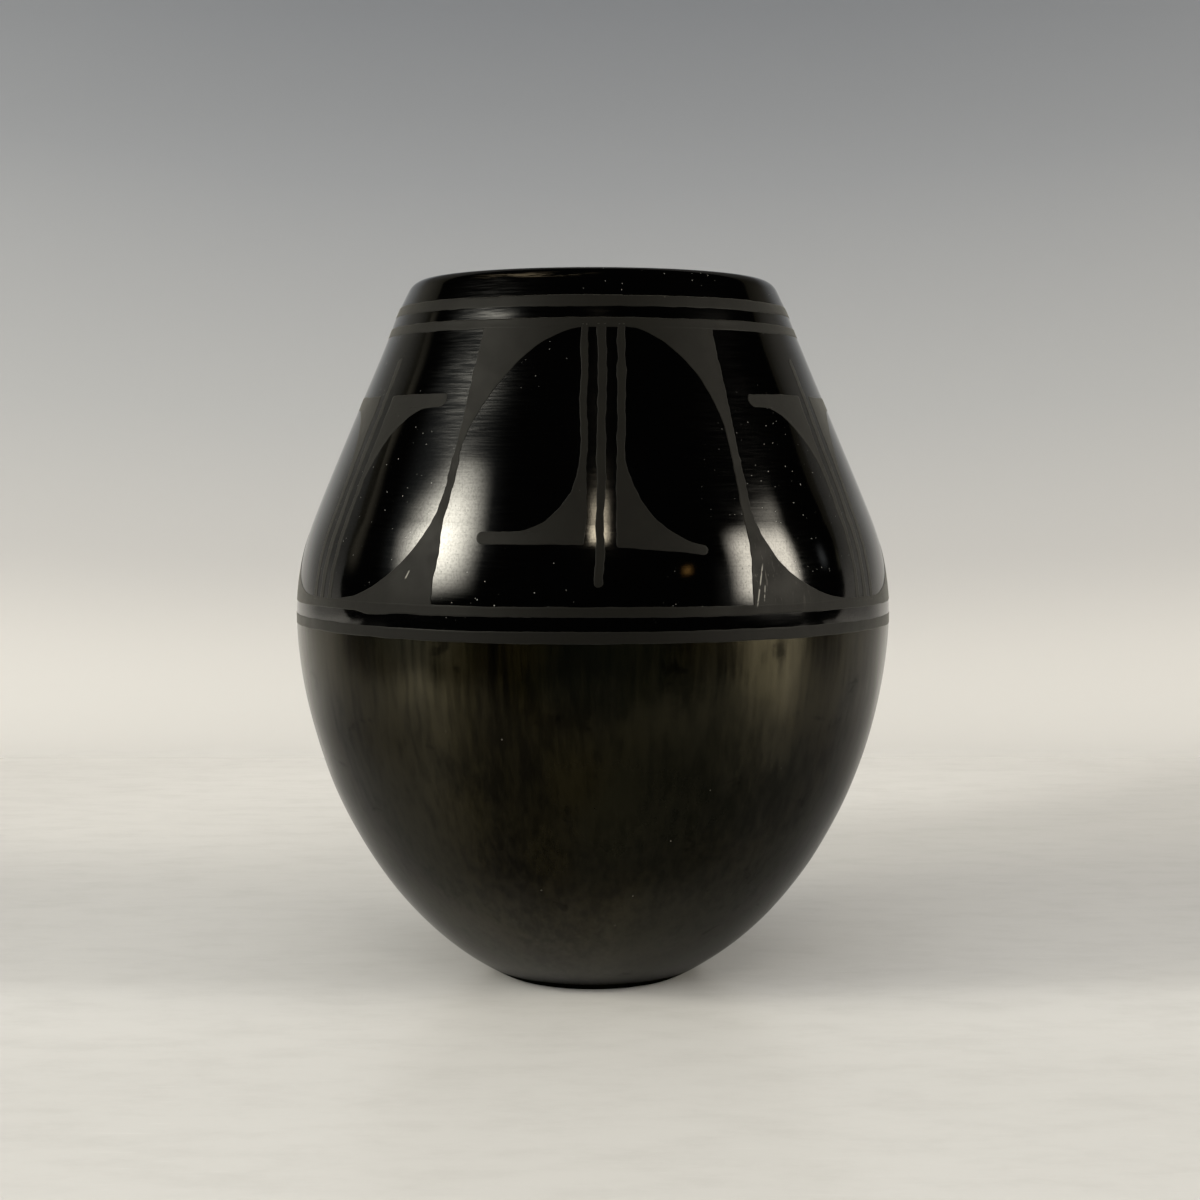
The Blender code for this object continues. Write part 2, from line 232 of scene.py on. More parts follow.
        line = np.concatenate([sole, foot, outside[1:], lip, inside[1:], floor])
        top = int(np.argmax(line[:, 1]))
        line[:top + 1, 0] += self.neck_press(line[:top + 1, 1])
        near_lip = (line[top + 1:, 1] - self.height + self.press_depth) / self.press_depth
        lip_press = float(self.neck_press(np.array(self.height)))
        line[top + 1:, 0] += lip_press * np.clip(near_lip, 0, 1)
        step = np.hypot(*np.diff(line, axis=0).T)
        line = line[np.concatenate([[True], step > self.least_step])]
        self.run = np.concatenate([[0], np.cumsum(np.hypot(*np.diff(line, axis=0).T))])
        self.line = line
        self.lip_top_run = float(self.run[int(np.argmax(line[:, 1]))])
        self.outside_start = float(self.run[len(sole)])

    def at(self, run: np.ndarray) -> np.ndarray:
        """Points (radius, height) at distances along the section."""
        return np.stack([np.interp(run, self.run, self.line[:, 0]),
                         np.interp(run, self.run, self.line[:, 1])], axis=-1)

    def outside_run(self, height: np.ndarray) -> np.ndarray:
        """Distances along the section at which the outside reaches heights."""
        part = (self.run >= self.outside_start) & (self.run <= self.lip_top_run)
        return np.interp(height, self.line[part, 1], self.run[part])

    def inside_run(self, height: np.ndarray) -> np.ndarray:
        """Distances along the section at which the inside reaches heights."""
        part = self.run >= self.lip_top_run
        return np.interp(height, self.line[part, 1][::-1], self.run[part][::-1])


def _normals_of(radii: np.ndarray, heights: np.ndarray) -> np.ndarray:
    """Unit normals of a line of points, to the right of the way it runs."""
    slope_radius = np.gradient(radii)
    slope_height = np.gradient(heights)
    length = np.hypot(slope_radius, slope_height)
    return np.stack([slope_height / length, -slope_radius / length], axis=1)


def drawn_lengths(rng: np.random.Generator, shortest: float, longest: float,
                  waves: int) -> np.ndarray:
    """Random wavelengths, spread evenly over the logarithm of their range."""
    return shortest * (longest / shortest) ** rng.random(waves)


def drawn_phases(rng: np.random.Generator, shape: object) -> np.ndarray:
    """Random angles over a full turn, in an array of a shape."""
    return rng.random(shape) * 2 * math.pi


@dataclass
class Unevenness:
    """Slow unevenness of a coiled pot: a sum of waves that close on themselves round the axis."""

    seed: int = 7
    waves: int = 26
    height: float = 0.000006
    shortest: float = 0.016
    longest: float = 0.07
    growth: float = 0.7
    turns: tuple[int, int] = (2, 15)

    def __post_init__(self) -> None:
        """Draw the waves; longer ones are higher."""
        rng = np.random.default_rng(self.seed)
        self.round = rng.integers(*self.turns, self.waves)
        lengths = drawn_lengths(rng, self.shortest, self.longest, self.waves)
        self.along = 2 * math.pi / lengths
        self.phase_round = drawn_phases(rng, self.waves)
        self.phase_along = drawn_phases(rng, self.waves)
        self.size = self.height * (lengths / self.shortest) ** self.growth

    def lift(self, angle: np.ndarray, run: np.ndarray) -> np.ndarray:
        """Sum of the waves, each a cosine round the axis times a cosine along the section.

        Args:
            angle: angles round the axis.
            run: distances along the section.

        Returns:
            How far the surface stands out at each place.
        """
        total = np.zeros(np.broadcast(angle, run).shape)
        for turns, along, first, second, size in zip(self.round, self.along, self.phase_round,
                                                     self.phase_along, self.size):
            total += size * np.cos(turns * angle + first) * np.cos(along * run + second)
        return total


@dataclass
class ClaySurface:
    """Surface of the whole pot as a function of the angle and the distance along its section.

    The fade is how far from the foot and from the lip's top the unevenness reaches its full size.
    The steps and the reach are those of the differences that give the normals.
    """

    section: ClaySection
    unevenness: Unevenness
    fade: float = 0.006
    run_reach: float = 0.0004
    angle_step: float = 0.002
    run_step: float = 0.0003

    def points(self, angle: np.ndarray, run: np.ndarray) -> np.ndarray:
        """Section turned round the axis, pushed out by the unevenness along its own normal.

        The push fades out under the foot, which stays flat, and over the lip's top.

        Args:
            angle: angles round the axis.
            run: distances along the section.

        Returns:
            The points, with the coordinates in the last axis.
        """
        angle, run = np.broadcast_arrays(np.asarray(angle, float), np.asarray(run, float))
        here = self.section.at(run)
        ahead = self.section.at(run + self.run_reach) - self.section.at(run - self.run_reach)
        length = np.maximum(np.hypot(ahead[..., 0], ahead[..., 1]), 1e-9)
        out_radius, out_height = ahead[..., 1] / length, -ahead[..., 0] / length
        from_foot = np.clip((run - self.section.outside_start) / self.fade, 0, 1)
        from_lip = np.clip(np.abs(run - self.section.lip_top_run) / self.fade, 0, 1)
        fade = from_foot * (3 * from_lip ** 2 - 2 * from_lip ** 3)
        push = self.unevenness.lift(angle, run) * fade
        radius = here[..., 0] + push * out_radius
        height = here[..., 1] + push * out_height
        return np.stack([radius * np.sin(angle), -radius * np.cos(angle), height], axis=-1)

    def normals(self, angle: np.ndarray, run: np.ndarray) -> np.ndarray:
        """Outward unit normals, from differences of the surface across and along.

        Args:
            angle: angles round the axis.
            run: distances along the section.

        Returns:
            The normals, with the coordinates in the last axis.
        """
        right, left = angle + self.angle_step, angle - self.angle_step
        across = self.points(right, run) - self.points(left, run)
        along = self.points(angle, run + self.run_step) - self.points(angle, run - self.run_step)
        normal = np.cross(across, along)
        return normal / np.maximum(np.linalg.norm(normal, axis=-1, keepdims=True), 1e-12)

    def outside(self, angle: np.ndarray, height: np.ndarray, lift: np.ndarray) -> np.ndarray:
        """Points of the outside at angles and heights, lifted along its normal."""
        run = self.section.outside_run(height)
        return self.points(angle, run) + np.asarray(lift)[..., None] * self.normals(angle, run)


# Finishes


class Net:
    """A node tree in the making, for a material, a lamp or the room."""

    def __init__(self, tree: bpy.types.NodeTree) -> None:
        """Keep the tree's nodes and links at hand."""
        self.nodes = tree.nodes
        self.links = tree.links

    def feed(self, node: bpy.types.Node, index: object, value: object) -> None:
        """Give a node's input a value, or join another node's output to it."""
        if isinstance(value, bpy.types.NodeSocket):
            self.links.new(value, node.inputs[index])
        else:
            node.inputs[index].default_value = value

    def parts(self, vector: Socket) -> tuple[Socket, ...]:
        """The three coordinates of a vector."""
        node = self.nodes.new("ShaderNodeSeparateXYZ")
        self.feed(node, 0, vector)
        return tuple(node.outputs)

    def spread(self, value: Socket, low: float, high: float, to_low: float = 0.0,
               to_high: float = 1.0) -> Socket:
        """Value between low and high, spread smoothly over another range and held at its ends."""
        node = self.nodes.new("ShaderNodeMapRange")
        node.interpolation_type = "SMOOTHSTEP"
        for index, number in enumerate((value, low, high, to_low, to_high)):
            self.feed(node, index, number)
        return node.outputs["Result"]

    def dimmed(self, mask: Socket, share: float) -> Socket:
        """Factor of 1 where a mask is 0, down to a share where it is 1."""
        return self.spread(mask, 0, 1, 1, share)

    def calculate(self, operation: str, first: object, second: object = 0.0) -> Socket:
        """Arithmetic on one value or two, by Blender's name of the operation."""
        node = self.nodes.new("ShaderNodeMath")
        node.operation = operation
        self.feed(node, 0, first)
        self.feed(node, 1, second)
        return node.outputs["Value"]

    def add(self, first: object, second: object) -> Socket:
        """Sum of two values."""
        return self.calculate("ADD", first, second)

    def less(self, first: object, second: object) -> Socket:
        """First value less the second."""
        return self.calculate("SUBTRACT", first, second)

    def larger(self, first: object, second: object) -> Socket:
        """Larger of two values."""
        return self.calculate("MAXIMUM", first, second)

    def size(self, value: Socket) -> Socket:
        """Value without its sign."""
        return self.calculate("ABSOLUTE", value)

    def product(self, *values: object) -> Socket:
        """Product of two or more values."""
        total = values[0]
        for value in values[1:]:
            total = self.calculate("MULTIPLY", total, value)
        return total

    def blend(self, share: object, first: object, second: object) -> Socket:
        """Mix of two colours, by the share of the second."""
        node = self.nodes.new("ShaderNodeMix")
        node.data_type = "RGBA"
        self.feed(node, 0, share)
        self.feed(node, 6, first)
        self.feed(node, 7, second)
        return node.outputs[2]

    def layered(self, colour: object, layers: list[tuple[Socket, Colour]]) -> Socket:
        """Colour with further ones laid over it in order, each by its share."""
        for share, over in layers:
            colour = self.blend(share, colour, over)
        return colour


@dataclass(frozen=True)
class Scratch:
    """An upright scratch: its middle, how far it moves sideways for each metre up, and its size."""

    middle: Vector
    lean: float
    half_length: float
    half_width: float


class Recipe(Net):
    """A material in the making: adds shader nodes and joins them."""

    def __init__(self, name: str) -> None:
        """Start a material with an empty Principled shader."""
        self.material = bpy.data.materials.new(name)
        self.material.use_nodes = True
        super().__init__(self.material.node_tree)
        self.shader = self.nodes["Principled BSDF"]
        self.place = self.nodes.new("ShaderNodeTexCoord").outputs["Object"]
        self.across, self.depth, self.height = self.parts(self.place)

    def set(self, **sockets: object) -> None:
        """Set the shader's own sockets; an underscore in a name stands for a space."""
        for name, value in sockets.items():
            self.shader.inputs[name.replace("_", " ")].default_value = value

    def join(self, output: Socket, name: str) -> None:
        """Join an output to one of the shader's sockets."""
        self.links.new(output, self.shader.inputs[name])

    def noise(self, scale: float, detail: float = 3.0, roughness: float = 0.55,
              distortion: float = 0.0, place: Optional[Socket] = None) -> Socket:
        """Fractal noise between about 0 and 1.

        Args:
            scale: cells per metre.
            detail: how many finer layers it has.
            roughness: how much each finer layer adds.
            distortion: how far it is warped.
            place: coordinates that it follows, in place of the object's own.

        Returns:
            The noise.
        """
        node = self.nodes.new("ShaderNodeTexNoise")
        self.feed(node, "Vector", self.place if place is None else place)
        for name, value in (("Scale", scale), ("Detail", detail), ("Roughness", roughness),
                            ("Distortion", distortion)):
            node.inputs[name].default_value = value
        return node.outputs["Fac"]

    def strokes(self, cells: Stretch, detail: float = 3.0, roughness: float = 0.55,
                distortion: float = 0.0) -> Socket:
        """Noise drawn out into strokes, by its cells per metre along each axis."""
        node = self.nodes.new("ShaderNodeMapping")
        self.feed(node, "Vector", self.place)
        node.inputs["Scale"].default_value = cells
        return self.noise(1.0, detail, roughness, distortion, node.outputs["Vector"])

    def bump(self, height: Socket, depth: float, below: Optional[Socket] = None) -> Socket:
        """Normal bent by a height field whose full range is a depth in metres."""
        node = self.nodes.new("ShaderNodeBump")
        node.inputs["Distance"].default_value = depth
        node.inputs["Strength"].default_value = 1.0
        self.feed(node, "Height", height)
        if below is not None:
            self.feed(node, "Normal", below)
        return node.outputs["Normal"]

    def specks(self, cells: float, size: float, share: float) -> Socket:
        """Sparse round specks: 1 in each speck and 0 elsewhere.

        Args:
            cells: cells per metre; a cell holds one speck at most.
            size: radius of a speck as a share of its cell.
            share: share of the cells that hold a speck.

        Returns:
            The mask.
        """
        node = self.nodes.new("ShaderNodeTexVoronoi")
        self.feed(node, "Vector", self.place)
        node.inputs["Scale"].default_value = cells
        split = self.nodes.new("ShaderNodeSeparateColor")
        self.feed(split, 0, node.outputs["Color"])
        close = self.spread(node.outputs["Distance"], size, size * 0.5)
        return self.product(close, self.calculate("LESS_THAN", split.outputs[0], share))

    def ramp(self, value: Socket, stops: tuple) -> Socket:
        """Colour that follows a value through stops of (value from 0 to 1, red, green, blue)."""
        node = self.nodes.new("ShaderNodeValToRGB")
        self.feed(node, 0, value)
        elements = node.color_ramp.elements
        for element, stop in zip(elements, stops):
            element.position = stop[0]
            element.color = (*stop[1:], 1)
        for stop in stops[2:]:
            element = elements.new(stop[0])
            element.color = (*stop[1:], 1)
        return node.outputs["Color"]

    def vector(self, operation: str, output: str, **ends: object) -> Socket:
        """Vector arithmetic on the inputs first and second, by Blender's name of the operation."""
        node = self.nodes.new("ShaderNodeVectorMath")
        node.operation = operation
        for index, name in enumerate(("first", "second")):
            if name in ends:
                self.feed(node, index, ends[name])
        return node.outputs[output]

    def brush_round(self, amount: float, rotation: float = 0.25) -> None:
        """Stretch the gloss as fine strokes round the vase's axis do."""
        sideways = self.vector("CROSS_PRODUCT", "Vector", first=(0, 0, 1), second=self.place)
        self.join(self.vector("NORMALIZE", "Vector", first=sideways), "Tangent")
        self.set(Anisotropic=amount, Anisotropic_Rotation=rotation)

    def near(self, point: Vector, reach: float) -> Socket:
        """Mask that is 1 round a point and fades to 0 at a distance from it."""
        away = self.vector("DISTANCE", "Value", first=self.place, second=point)
        return self.spread(away, reach, reach * 0.3)

    def scratch(self, scratch: Scratch) -> Socket:
        """Mask of one scratch, 1 along it and 0 elsewhere."""
        middle, width, length = scratch.middle, scratch.half_width, scratch.half_length
        rise = self.less(self.height, middle.z)
        aside = self.less(self.less(self.across, middle.x), self.product(rise, scratch.lean))
        line = self.spread(self.size(aside), width, width * 0.3)
        ends = self.spread(self.size(rise), length, length * 0.7)
        return self.product(line, ends, self.near(middle, length * 3))


@dataclass(frozen=True)
class MirrorBurnish:
    """Black clay rubbed with a stone to a mirror: fine strokes round the neck, pits and dust.

    One side of the neck was rubbed less, and its strokes show more there. At the top of the lip a
    few thin lines are worn down to the brown clay. Cells are cells of noise per metre, along each
    axis where there are three. Specks are given as the recipe's specks take them.
    """

    name: str = "mirror burnished clay"
    black: Colour = (0.0004, 0.0004, 0.0004, 1)
    dust: Colour = (0.32, 0.32, 0.29, 1)
    bared: Colour = (0.060, 0.049, 0.032, 1)
    smooth: float = 0.055
    worn: float = 0.10
    dull: float = 0.13
    dusty_places: tuple[Vector, ...] = (Vector((-0.055, -0.046, 0.125)),
                                        Vector((0.051, -0.050, 0.126)))
    dusty_reach: float = 0.034
    dull_places: tuple[Vector, Vector] = (Vector((-0.0255, -0.0475, 0.149)),
                                          Vector((-0.0225, -0.0405, 0.166)))
    dull_reach: float = 0.022
    worn_place: Vector = Vector((-0.0120, -0.0365, 0.1760))
    worn_reach: float = 0.018
    worn_from: Ends = (0.1753, 0.1758)
    worn_up_to: Ends = (0.1768, 0.1763)
    worn_cells: Stretch = (90, 90, 2600)
    stroke_cells: Stretch = (30, 30, 700)
    stroke_depth: float = 0.0000016
    fine_cells: Stretch = (130, 130, 2400)
    fine_depth: float = 0.0000020
    dull_depth: float = 0.0000030
    grain_cells: Stretch = (1900, 1900, 1500)
    grain_depth: float = 0.0000020
    patch_cells: float = 32
    dust_cells: float = 38
    dust_specks: tuple[Specks, Specks] = ((900, 0.11, 0.2), (450, 0.07, 0.5))
    dust_roughness: float = 0.7
    pits: Specks = (1300, 0.24, 0.3)
    pit_loss: float = 0.2
    grain_shine: Ends = (0.42, 0.54)
    stroke_shine: Ends = (0.9, 1.04)
    streaking: float = 0.3
    index: float = 1.7

    def make(self) -> bpy.types.Material:
        """Build the material."""
        mix = Recipe(self.name)
        strokes = mix.strokes(self.stroke_cells, 3, 0.6)
        fine = mix.strokes(self.fine_cells, 2)
        grain = mix.strokes(self.grain_cells, 2)
        rubbed_less = mix.larger(*(mix.near(place, self.dull_reach)
                                   for place in self.dull_places))
        dust = self._dust(mix)

        clay = mix.layered(self.black, [(self._worn_lines(mix), self.bared), (dust, self.dust)])
        mix.join(clay, "Base Color")
        gloss = mix.add(self._gloss(mix, fine), self._dullness(mix, fine, rubbed_less))
        mix.join(mix.larger(gloss, mix.product(dust, self.dust_roughness)), "Roughness")
        skin = mix.bump(strokes, self.stroke_depth)
        skin = mix.bump(fine, self.fine_depth, skin)
        skin = mix.bump(mix.product(fine, rubbed_less), self.dull_depth, skin)
        mix.join(mix.bump(grain, self.grain_depth, skin), "Normal")
        mottle = mix.product(mix.spread(grain, 0.3, 0.6, *self.grain_shine),
                             mix.spread(fine, 0.25, 0.6, *self.stroke_shine))
        pits = mix.product(mix.specks(*self.pits), self.pit_loss)
        mix.join(mix.less(mottle, pits), "Specular IOR Level")
        mix.brush_round(self.streaking)
        mix.set(IOR=self.index)
        return mix.material

    def _dust(self, mix: Recipe) -> Socket:
        """Specks of dust, gathered in clouds and at a few places."""
        specks = mix.add(*(mix.specks(*kind) for kind in self.dust_specks))
        gathered = mix.spread(mix.noise(self.dust_cells, 2), 0.56, 0.66)
        for place in self.dusty_places:
            gathered = mix.larger(gathered, mix.near(place, self.dusty_reach))
        return mix.product(specks, gathered)

    def _worn_lines(self, mix: Recipe) -> Socket:
        """Thin level lines in a low band at one place on the lip."""
        lines = mix.spread(mix.strokes(self.worn_cells, 3, 0.6), 0.50, 0.58)
        return mix.product(lines, mix.near(self.worn_place, self.worn_reach),
                           mix.spread(mix.height, *self.worn_from),
                           mix.spread(mix.height, *self.worn_up_to))

    def _gloss(self, mix: Recipe, fine: Socket) -> Socket:
        """Roughness of well rubbed clay: patches of fine strokes."""
        patches = mix.noise(self.patch_cells, 3)
        return mix.spread(mix.product(fine, patches), 0.12, 0.38, self.smooth, self.worn)

    def _dullness(self, mix: Recipe, fine: Socket, rubbed_less: Socket) -> Socket:
        """Roughness that the less rubbed side has on top, stroke by stroke."""
        streaks = mix.spread(fine, 0.35, 0.65, 0.4, 1.0)
        return mix.product(rubbed_less, streaks, self.dull - self.smooth)


@dataclass(frozen=True)
class SatinBurnish:
    """Black clay rubbed less: a satin skin with upright strokes, olive-brown tones and smudges.

    The shares say what is left of the polish where the clay is worn, stained and so on. Widths and
    heights are where such a place starts and where it is full, or the other way round. Cells are
    cells of noise per metre.
    """

    name: str = "satin burnished clay"
    dark: Colour = (0.0005, 0.0004, 0.0002, 1)
    olive: Colour = (0.0044, 0.0035, 0.0009, 1)
    moss: Colour = (0.0021, 0.0026, 0.0017, 1)
    smudge: Colour = (0.0003, 0.0003, 0.0002, 1)
    dust: Colour = (0.14, 0.13, 0.11, 1)
    tint: Colour = (1.0, 0.90, 0.58, 1)
    smooth: float = 0.19
    rough: float = 0.27
    upright_cells: Stretch = (520, 520, 24)
    upright_depth: float = 0.000014
    broad_cells: Stretch = (70, 70, 14)
    cloud_cells: float = 30
    moss_cells: float = 17
    smudge_cells: Stretch = (80, 80, 130)
    dust_specks: Specks = (230, 0.045, 0.3)
    polish: float = 0.22
    waist_polish: float = 0.44
    waist_heights: Ends = (0.066, 0.086)
    foot_polish: float = 0.225
    foot_heights: Ends = (0.036, 0.014)
    edge_heights: Ends = (0.0020, 0.0072)
    rubbing: Ends = (0.75, 1.25)
    rubbing_shares: Ends = (0.68, 1.32)
    worn_share: float = 0.48
    worn_widths: Ends = (0.0, 0.045)
    worn_heights: Ends = (0.078, 0.05)
    stained_share: float = 0.55
    cloud_low: Ends = (0.024, 0.040)
    cloud_high: Ends = (0.074, 0.056)
    cloud_widths: Ends = (0.045, 0.015)
    under_line_share: float = 0.30
    under_line_heights: Ends = (0.076, 0.088)
    under_line_right: Ends = (0.034, 0.0)
    under_line_left: Ends = (-0.068, -0.052)
    raggedness: float = 0.012
    low_right_share: float = 0.72
    low_right_widths: Ends = (0.0, 0.012)
    low_right_heights: Ends = (0.034, 0.016)
    streaking: float = 0.95
    index: float = 1.36

    def make(self) -> bpy.types.Material:
        """Build the material."""
        mix = Recipe(self.name)
        upright = mix.strokes(self.upright_cells, 4, 0.65)
        broad = mix.strokes(self.broad_cells)
        clouds = mix.noise(self.cloud_cells, 5, 0.62)
        rubbed = mix.add(upright, clouds)
        smudges = mix.spread(mix.strokes(self.smudge_cells, 4, 0.65, 0.5), 0.62, 0.72)
        tone = mix.product(mix.add(broad, 0.3), mix.add(clouds, upright))
        mix.join(self._clay(mix, tone, smudges), "Base Color")
        mix.join(mix.spread(rubbed, *self.rubbing, self.smooth, self.rough), "Roughness")
        mix.join(mix.bump(upright, self.upright_depth), "Normal")
        mix.join(self._polish(mix, rubbed, broad, smudges), "Specular IOR Level")
        mix.brush_round(self.streaking)
        mix.set(IOR=self.index, Specular_Tint=self.tint)
        return mix.material

    def _clay(self, mix: Recipe, tone: Socket, smudges: Socket) -> Socket:
        """Olive and moss over the dark clay, then smudges and dust."""
        mossy = mix.spread(mix.noise(self.moss_cells, 2), 0.45, 0.6)
        return mix.layered(self.dark, [
            (mix.spread(tone, 0.55, 1.05), self.olive),
            (mix.product(mossy, 0.6), self.moss),
            (mix.product(smudges, 0.8), self.smudge),
            (mix.specks(*self.dust_specks), self.dust)])

    def _polish(self, mix: Recipe, rubbed: Socket, broad: Socket, smudges: Socket) -> Socket:
        """How strongly the clay mirrors, as a product of what hands and use left at each place.

        It is polished most at the waist and somewhat above the foot. It is weaker on the worn
        right side, in smudges and a cloud in front, under the painted line and low on the right,
        and it fades out at the foot's edge as painted shade where the foot meets the table.
        """
        level = mix.add(mix.spread(mix.height, *self.waist_heights, self.polish,
                                   self.polish + self.waist_polish),
                        mix.spread(mix.height, *self.foot_heights, 0, self.foot_polish))
        worn = mix.product(mix.spread(mix.across, *self.worn_widths),
                           mix.spread(mix.height, *self.worn_heights))
        cloud = mix.product(mix.spread(mix.height, *self.cloud_low),
                            mix.spread(mix.height, *self.cloud_high),
                            mix.spread(mix.size(mix.across), *self.cloud_widths))
        ragged = mix.add(mix.height, mix.product(mix.less(broad, 0.5), self.raggedness))
        under_line = mix.product(mix.spread(ragged, *self.under_line_heights),
                                 mix.spread(mix.across, *self.under_line_right),
                                 mix.spread(mix.across, *self.under_line_left))
        low_right = mix.product(mix.spread(mix.across, *self.low_right_widths),
                                mix.spread(mix.height, *self.low_right_heights))
        return mix.product(
            level,
            mix.spread(rubbed, *self.rubbing, *self.rubbing_shares),
            mix.dimmed(worn, self.worn_share),
            mix.product(mix.dimmed(smudges, self.stained_share),
                        mix.dimmed(cloud, self.stained_share)),
            mix.dimmed(under_line, self.under_line_share),
            # Painted shade: the polish fades out towards the foot's edge, darkening it as the shade
            # under the foot would.
            mix.product(mix.spread(mix.height, *self.edge_heights),
                        mix.dimmed(low_right, self.low_right_share)))


@dataclass(frozen=True)
class MattSlip:
    """Thin slip left matt: charcoal, dragged along by a brush, with pores and a few scuffs."""

    name: str = "matt slip"
    charcoal: Colour = (0.0036, 0.0034, 0.0024, 1)
    thin: Colour = (0.0027, 0.0025, 0.0018, 1)
    scuff: Colour = (0.09, 0.083, 0.070, 1)
    scratched: Colour = (0.26, 0.25, 0.22, 1)
    sheen: Colour = (1, 0.97, 0.86, 1)
    scuffed_place: Vector = Vector((0.041, -0.060, 0.105))
    scuffed_reach: float = 0.013
    scratches: tuple[Scratch, ...] = (
        Scratch(Vector((0.0381, -0.0630, 0.1040)), 0.14, 0.0052, 0.00021),
        Scratch(Vector((0.0392, -0.0620, 0.1022)), 0.05, 0.0020, 0.00015),
        Scratch(Vector((0.0424, -0.0610, 0.1013)), -2.2, 0.0005, 0.00040),
        Scratch(Vector((-0.0425, -0.0610, 0.1065)), 0.5, 0.0013, 0.00022))
    drag_cells: float = 160
    pore_cells: float = 1600
    pore_depth: float = 0.000016
    scuff_cells: Stretch = (1500, 1500, 90)
    nicks: Specks = (300, 0.05, 0.25)
    break_cells: float = 900
    index: float = 1.31
    sheen_weight: float = 0.30
    sheen_roughness: float = 0.37

    def make(self) -> bpy.types.Material:
        """Build the material."""
        mix = Recipe(self.name)
        drag = mix.noise(self.drag_cells, 4, 0.6)
        slip = mix.blend(mix.spread(drag, 0.35, 0.65), self.thin, self.charcoal)
        fine = mix.spread(mix.strokes(self.scuff_cells, 3, 0.6, 1.0), 0.62, 0.72)
        scuffs = mix.product(fine, mix.near(self.scuffed_place, self.scuffed_reach))
        layers = [(mix.larger(scuffs, mix.specks(*self.nicks)), self.scuff)]
        broken = mix.spread(mix.noise(self.break_cells, 2), 0.34, 0.5)
        for scratch in self.scratches:
            layers.append((mix.product(mix.scratch(scratch), broken), self.scratched))
        mix.join(mix.layered(slip, layers), "Base Color")
        mix.join(mix.spread(drag, 0.3, 0.7, 0.6, 0.5), "Roughness")
        mix.join(mix.bump(mix.noise(self.pore_cells, 2), self.pore_depth), "Normal")
        mix.set(IOR=self.index, Sheen_Weight=self.sheen_weight,
                Sheen_Roughness=self.sheen_roughness, Sheen_Tint=self.sheen)
        return mix.material


@dataclass(frozen=True)
class BareClay:
    """Inside of the pot: smoked clay wiped round by hand and never burnished."""

    name: str = "bare smoked clay"
    dark: Colour = (0.010, 0.0097, 0.0088, 1)
    ash: Colour = (0.030, 0.028, 0.025, 1)
    wiping_cells: Stretch = (26, 26, 620)
    wiping_depth: float = 0.00006
    cloud_cells: float = 40
    index: float = 1.45

    def make(self) -> bpy.types.Material:
        """Build the material."""
        mix = Recipe(self.name)
        wiped = mix.strokes(self.wiping_cells, 4, 0.6)
        tone = mix.spread(mix.product(wiped, mix.noise(self.cloud_cells, 3)), 0.15, 0.4)
        mix.join(mix.blend(tone, self.dark, self.ash), "Base Color")
        mix.join(mix.spread(wiped, 0.3, 0.7, 0.65, 0.8), "Roughness")
        mix.join(mix.bump(wiped, self.wiping_depth), "Normal")
        mix.set(IOR=self.index)
        return mix.material


# Meshes


def grid_faces(rows: int, columns: int, round_columns: bool = False,
               round_rows: bool = False) -> np.ndarray:
    """Corner numbers of the quads of a grid whose points are counted row by row.

    Args:
        rows: rows of points.
        columns: columns of points.
        round_columns: whether the last column joins the first.
        round_rows: whether the last row joins the first.

    Returns:
        An array with one row of four corners for each quad.
    """
    row, column = np.meshgrid(np.arange(rows if round_rows else rows - 1),
                              np.arange(columns if round_columns else columns - 1),
                              indexing="ij")
    here, above = row * columns, (row + 1) % rows * columns
    beside = (column + 1) % columns
    corners = [here + column, here + beside, above + beside, above + column]
    return np.stack(corners, axis=-1).reshape(-1, 4)


def add_piece(name: str, points: np.ndarray, quads: np.ndarray, triangles: Optional[np.ndarray],
              materials: list[bpy.types.Material]) -> bpy.types.Object:
    """Make an object from whole arrays of points and faces, smooth, at the origin.

    Args:
        name: name of the piece.
        points: one row of coordinates for each point.
        quads: one row of four corners for each quad.
        triangles: one row of three corners for each triangle, or None.
        materials: what goes into the piece's material slots.

    Returns:
        The new object.
    """
    mesh = bpy.data.meshes.new(name)
    corners, starts = quads.ravel(), np.arange(len(quads)) * 4
    if triangles is not None:
        starts = np.concatenate([starts, len(corners) + np.arange(len(triangles)) * 3])
        corners = np.concatenate([corners, triangles.ravel()])
    mesh.vertices.add(len(points))
    mesh.vertices.foreach_set("co", points.astype(np.float32).ravel())
    mesh.loops.add(len(corners))
    mesh.loops.foreach_set("vertex_index", corners.astype(np.int32))
    mesh.polygons.add(len(starts))
    mesh.polygons.foreach_set("loop_start", starts.astype(np.int32))
    mesh.update(calc_edges=True)
    mesh.validate()
    mesh.shade_smooth()
    for material in materials:
        mesh.materials.append(material)
    piece = bpy.data.objects.new(name, mesh)
    bpy.context.scene.collection.objects.link(piece)
    return piece


# Clay pieces


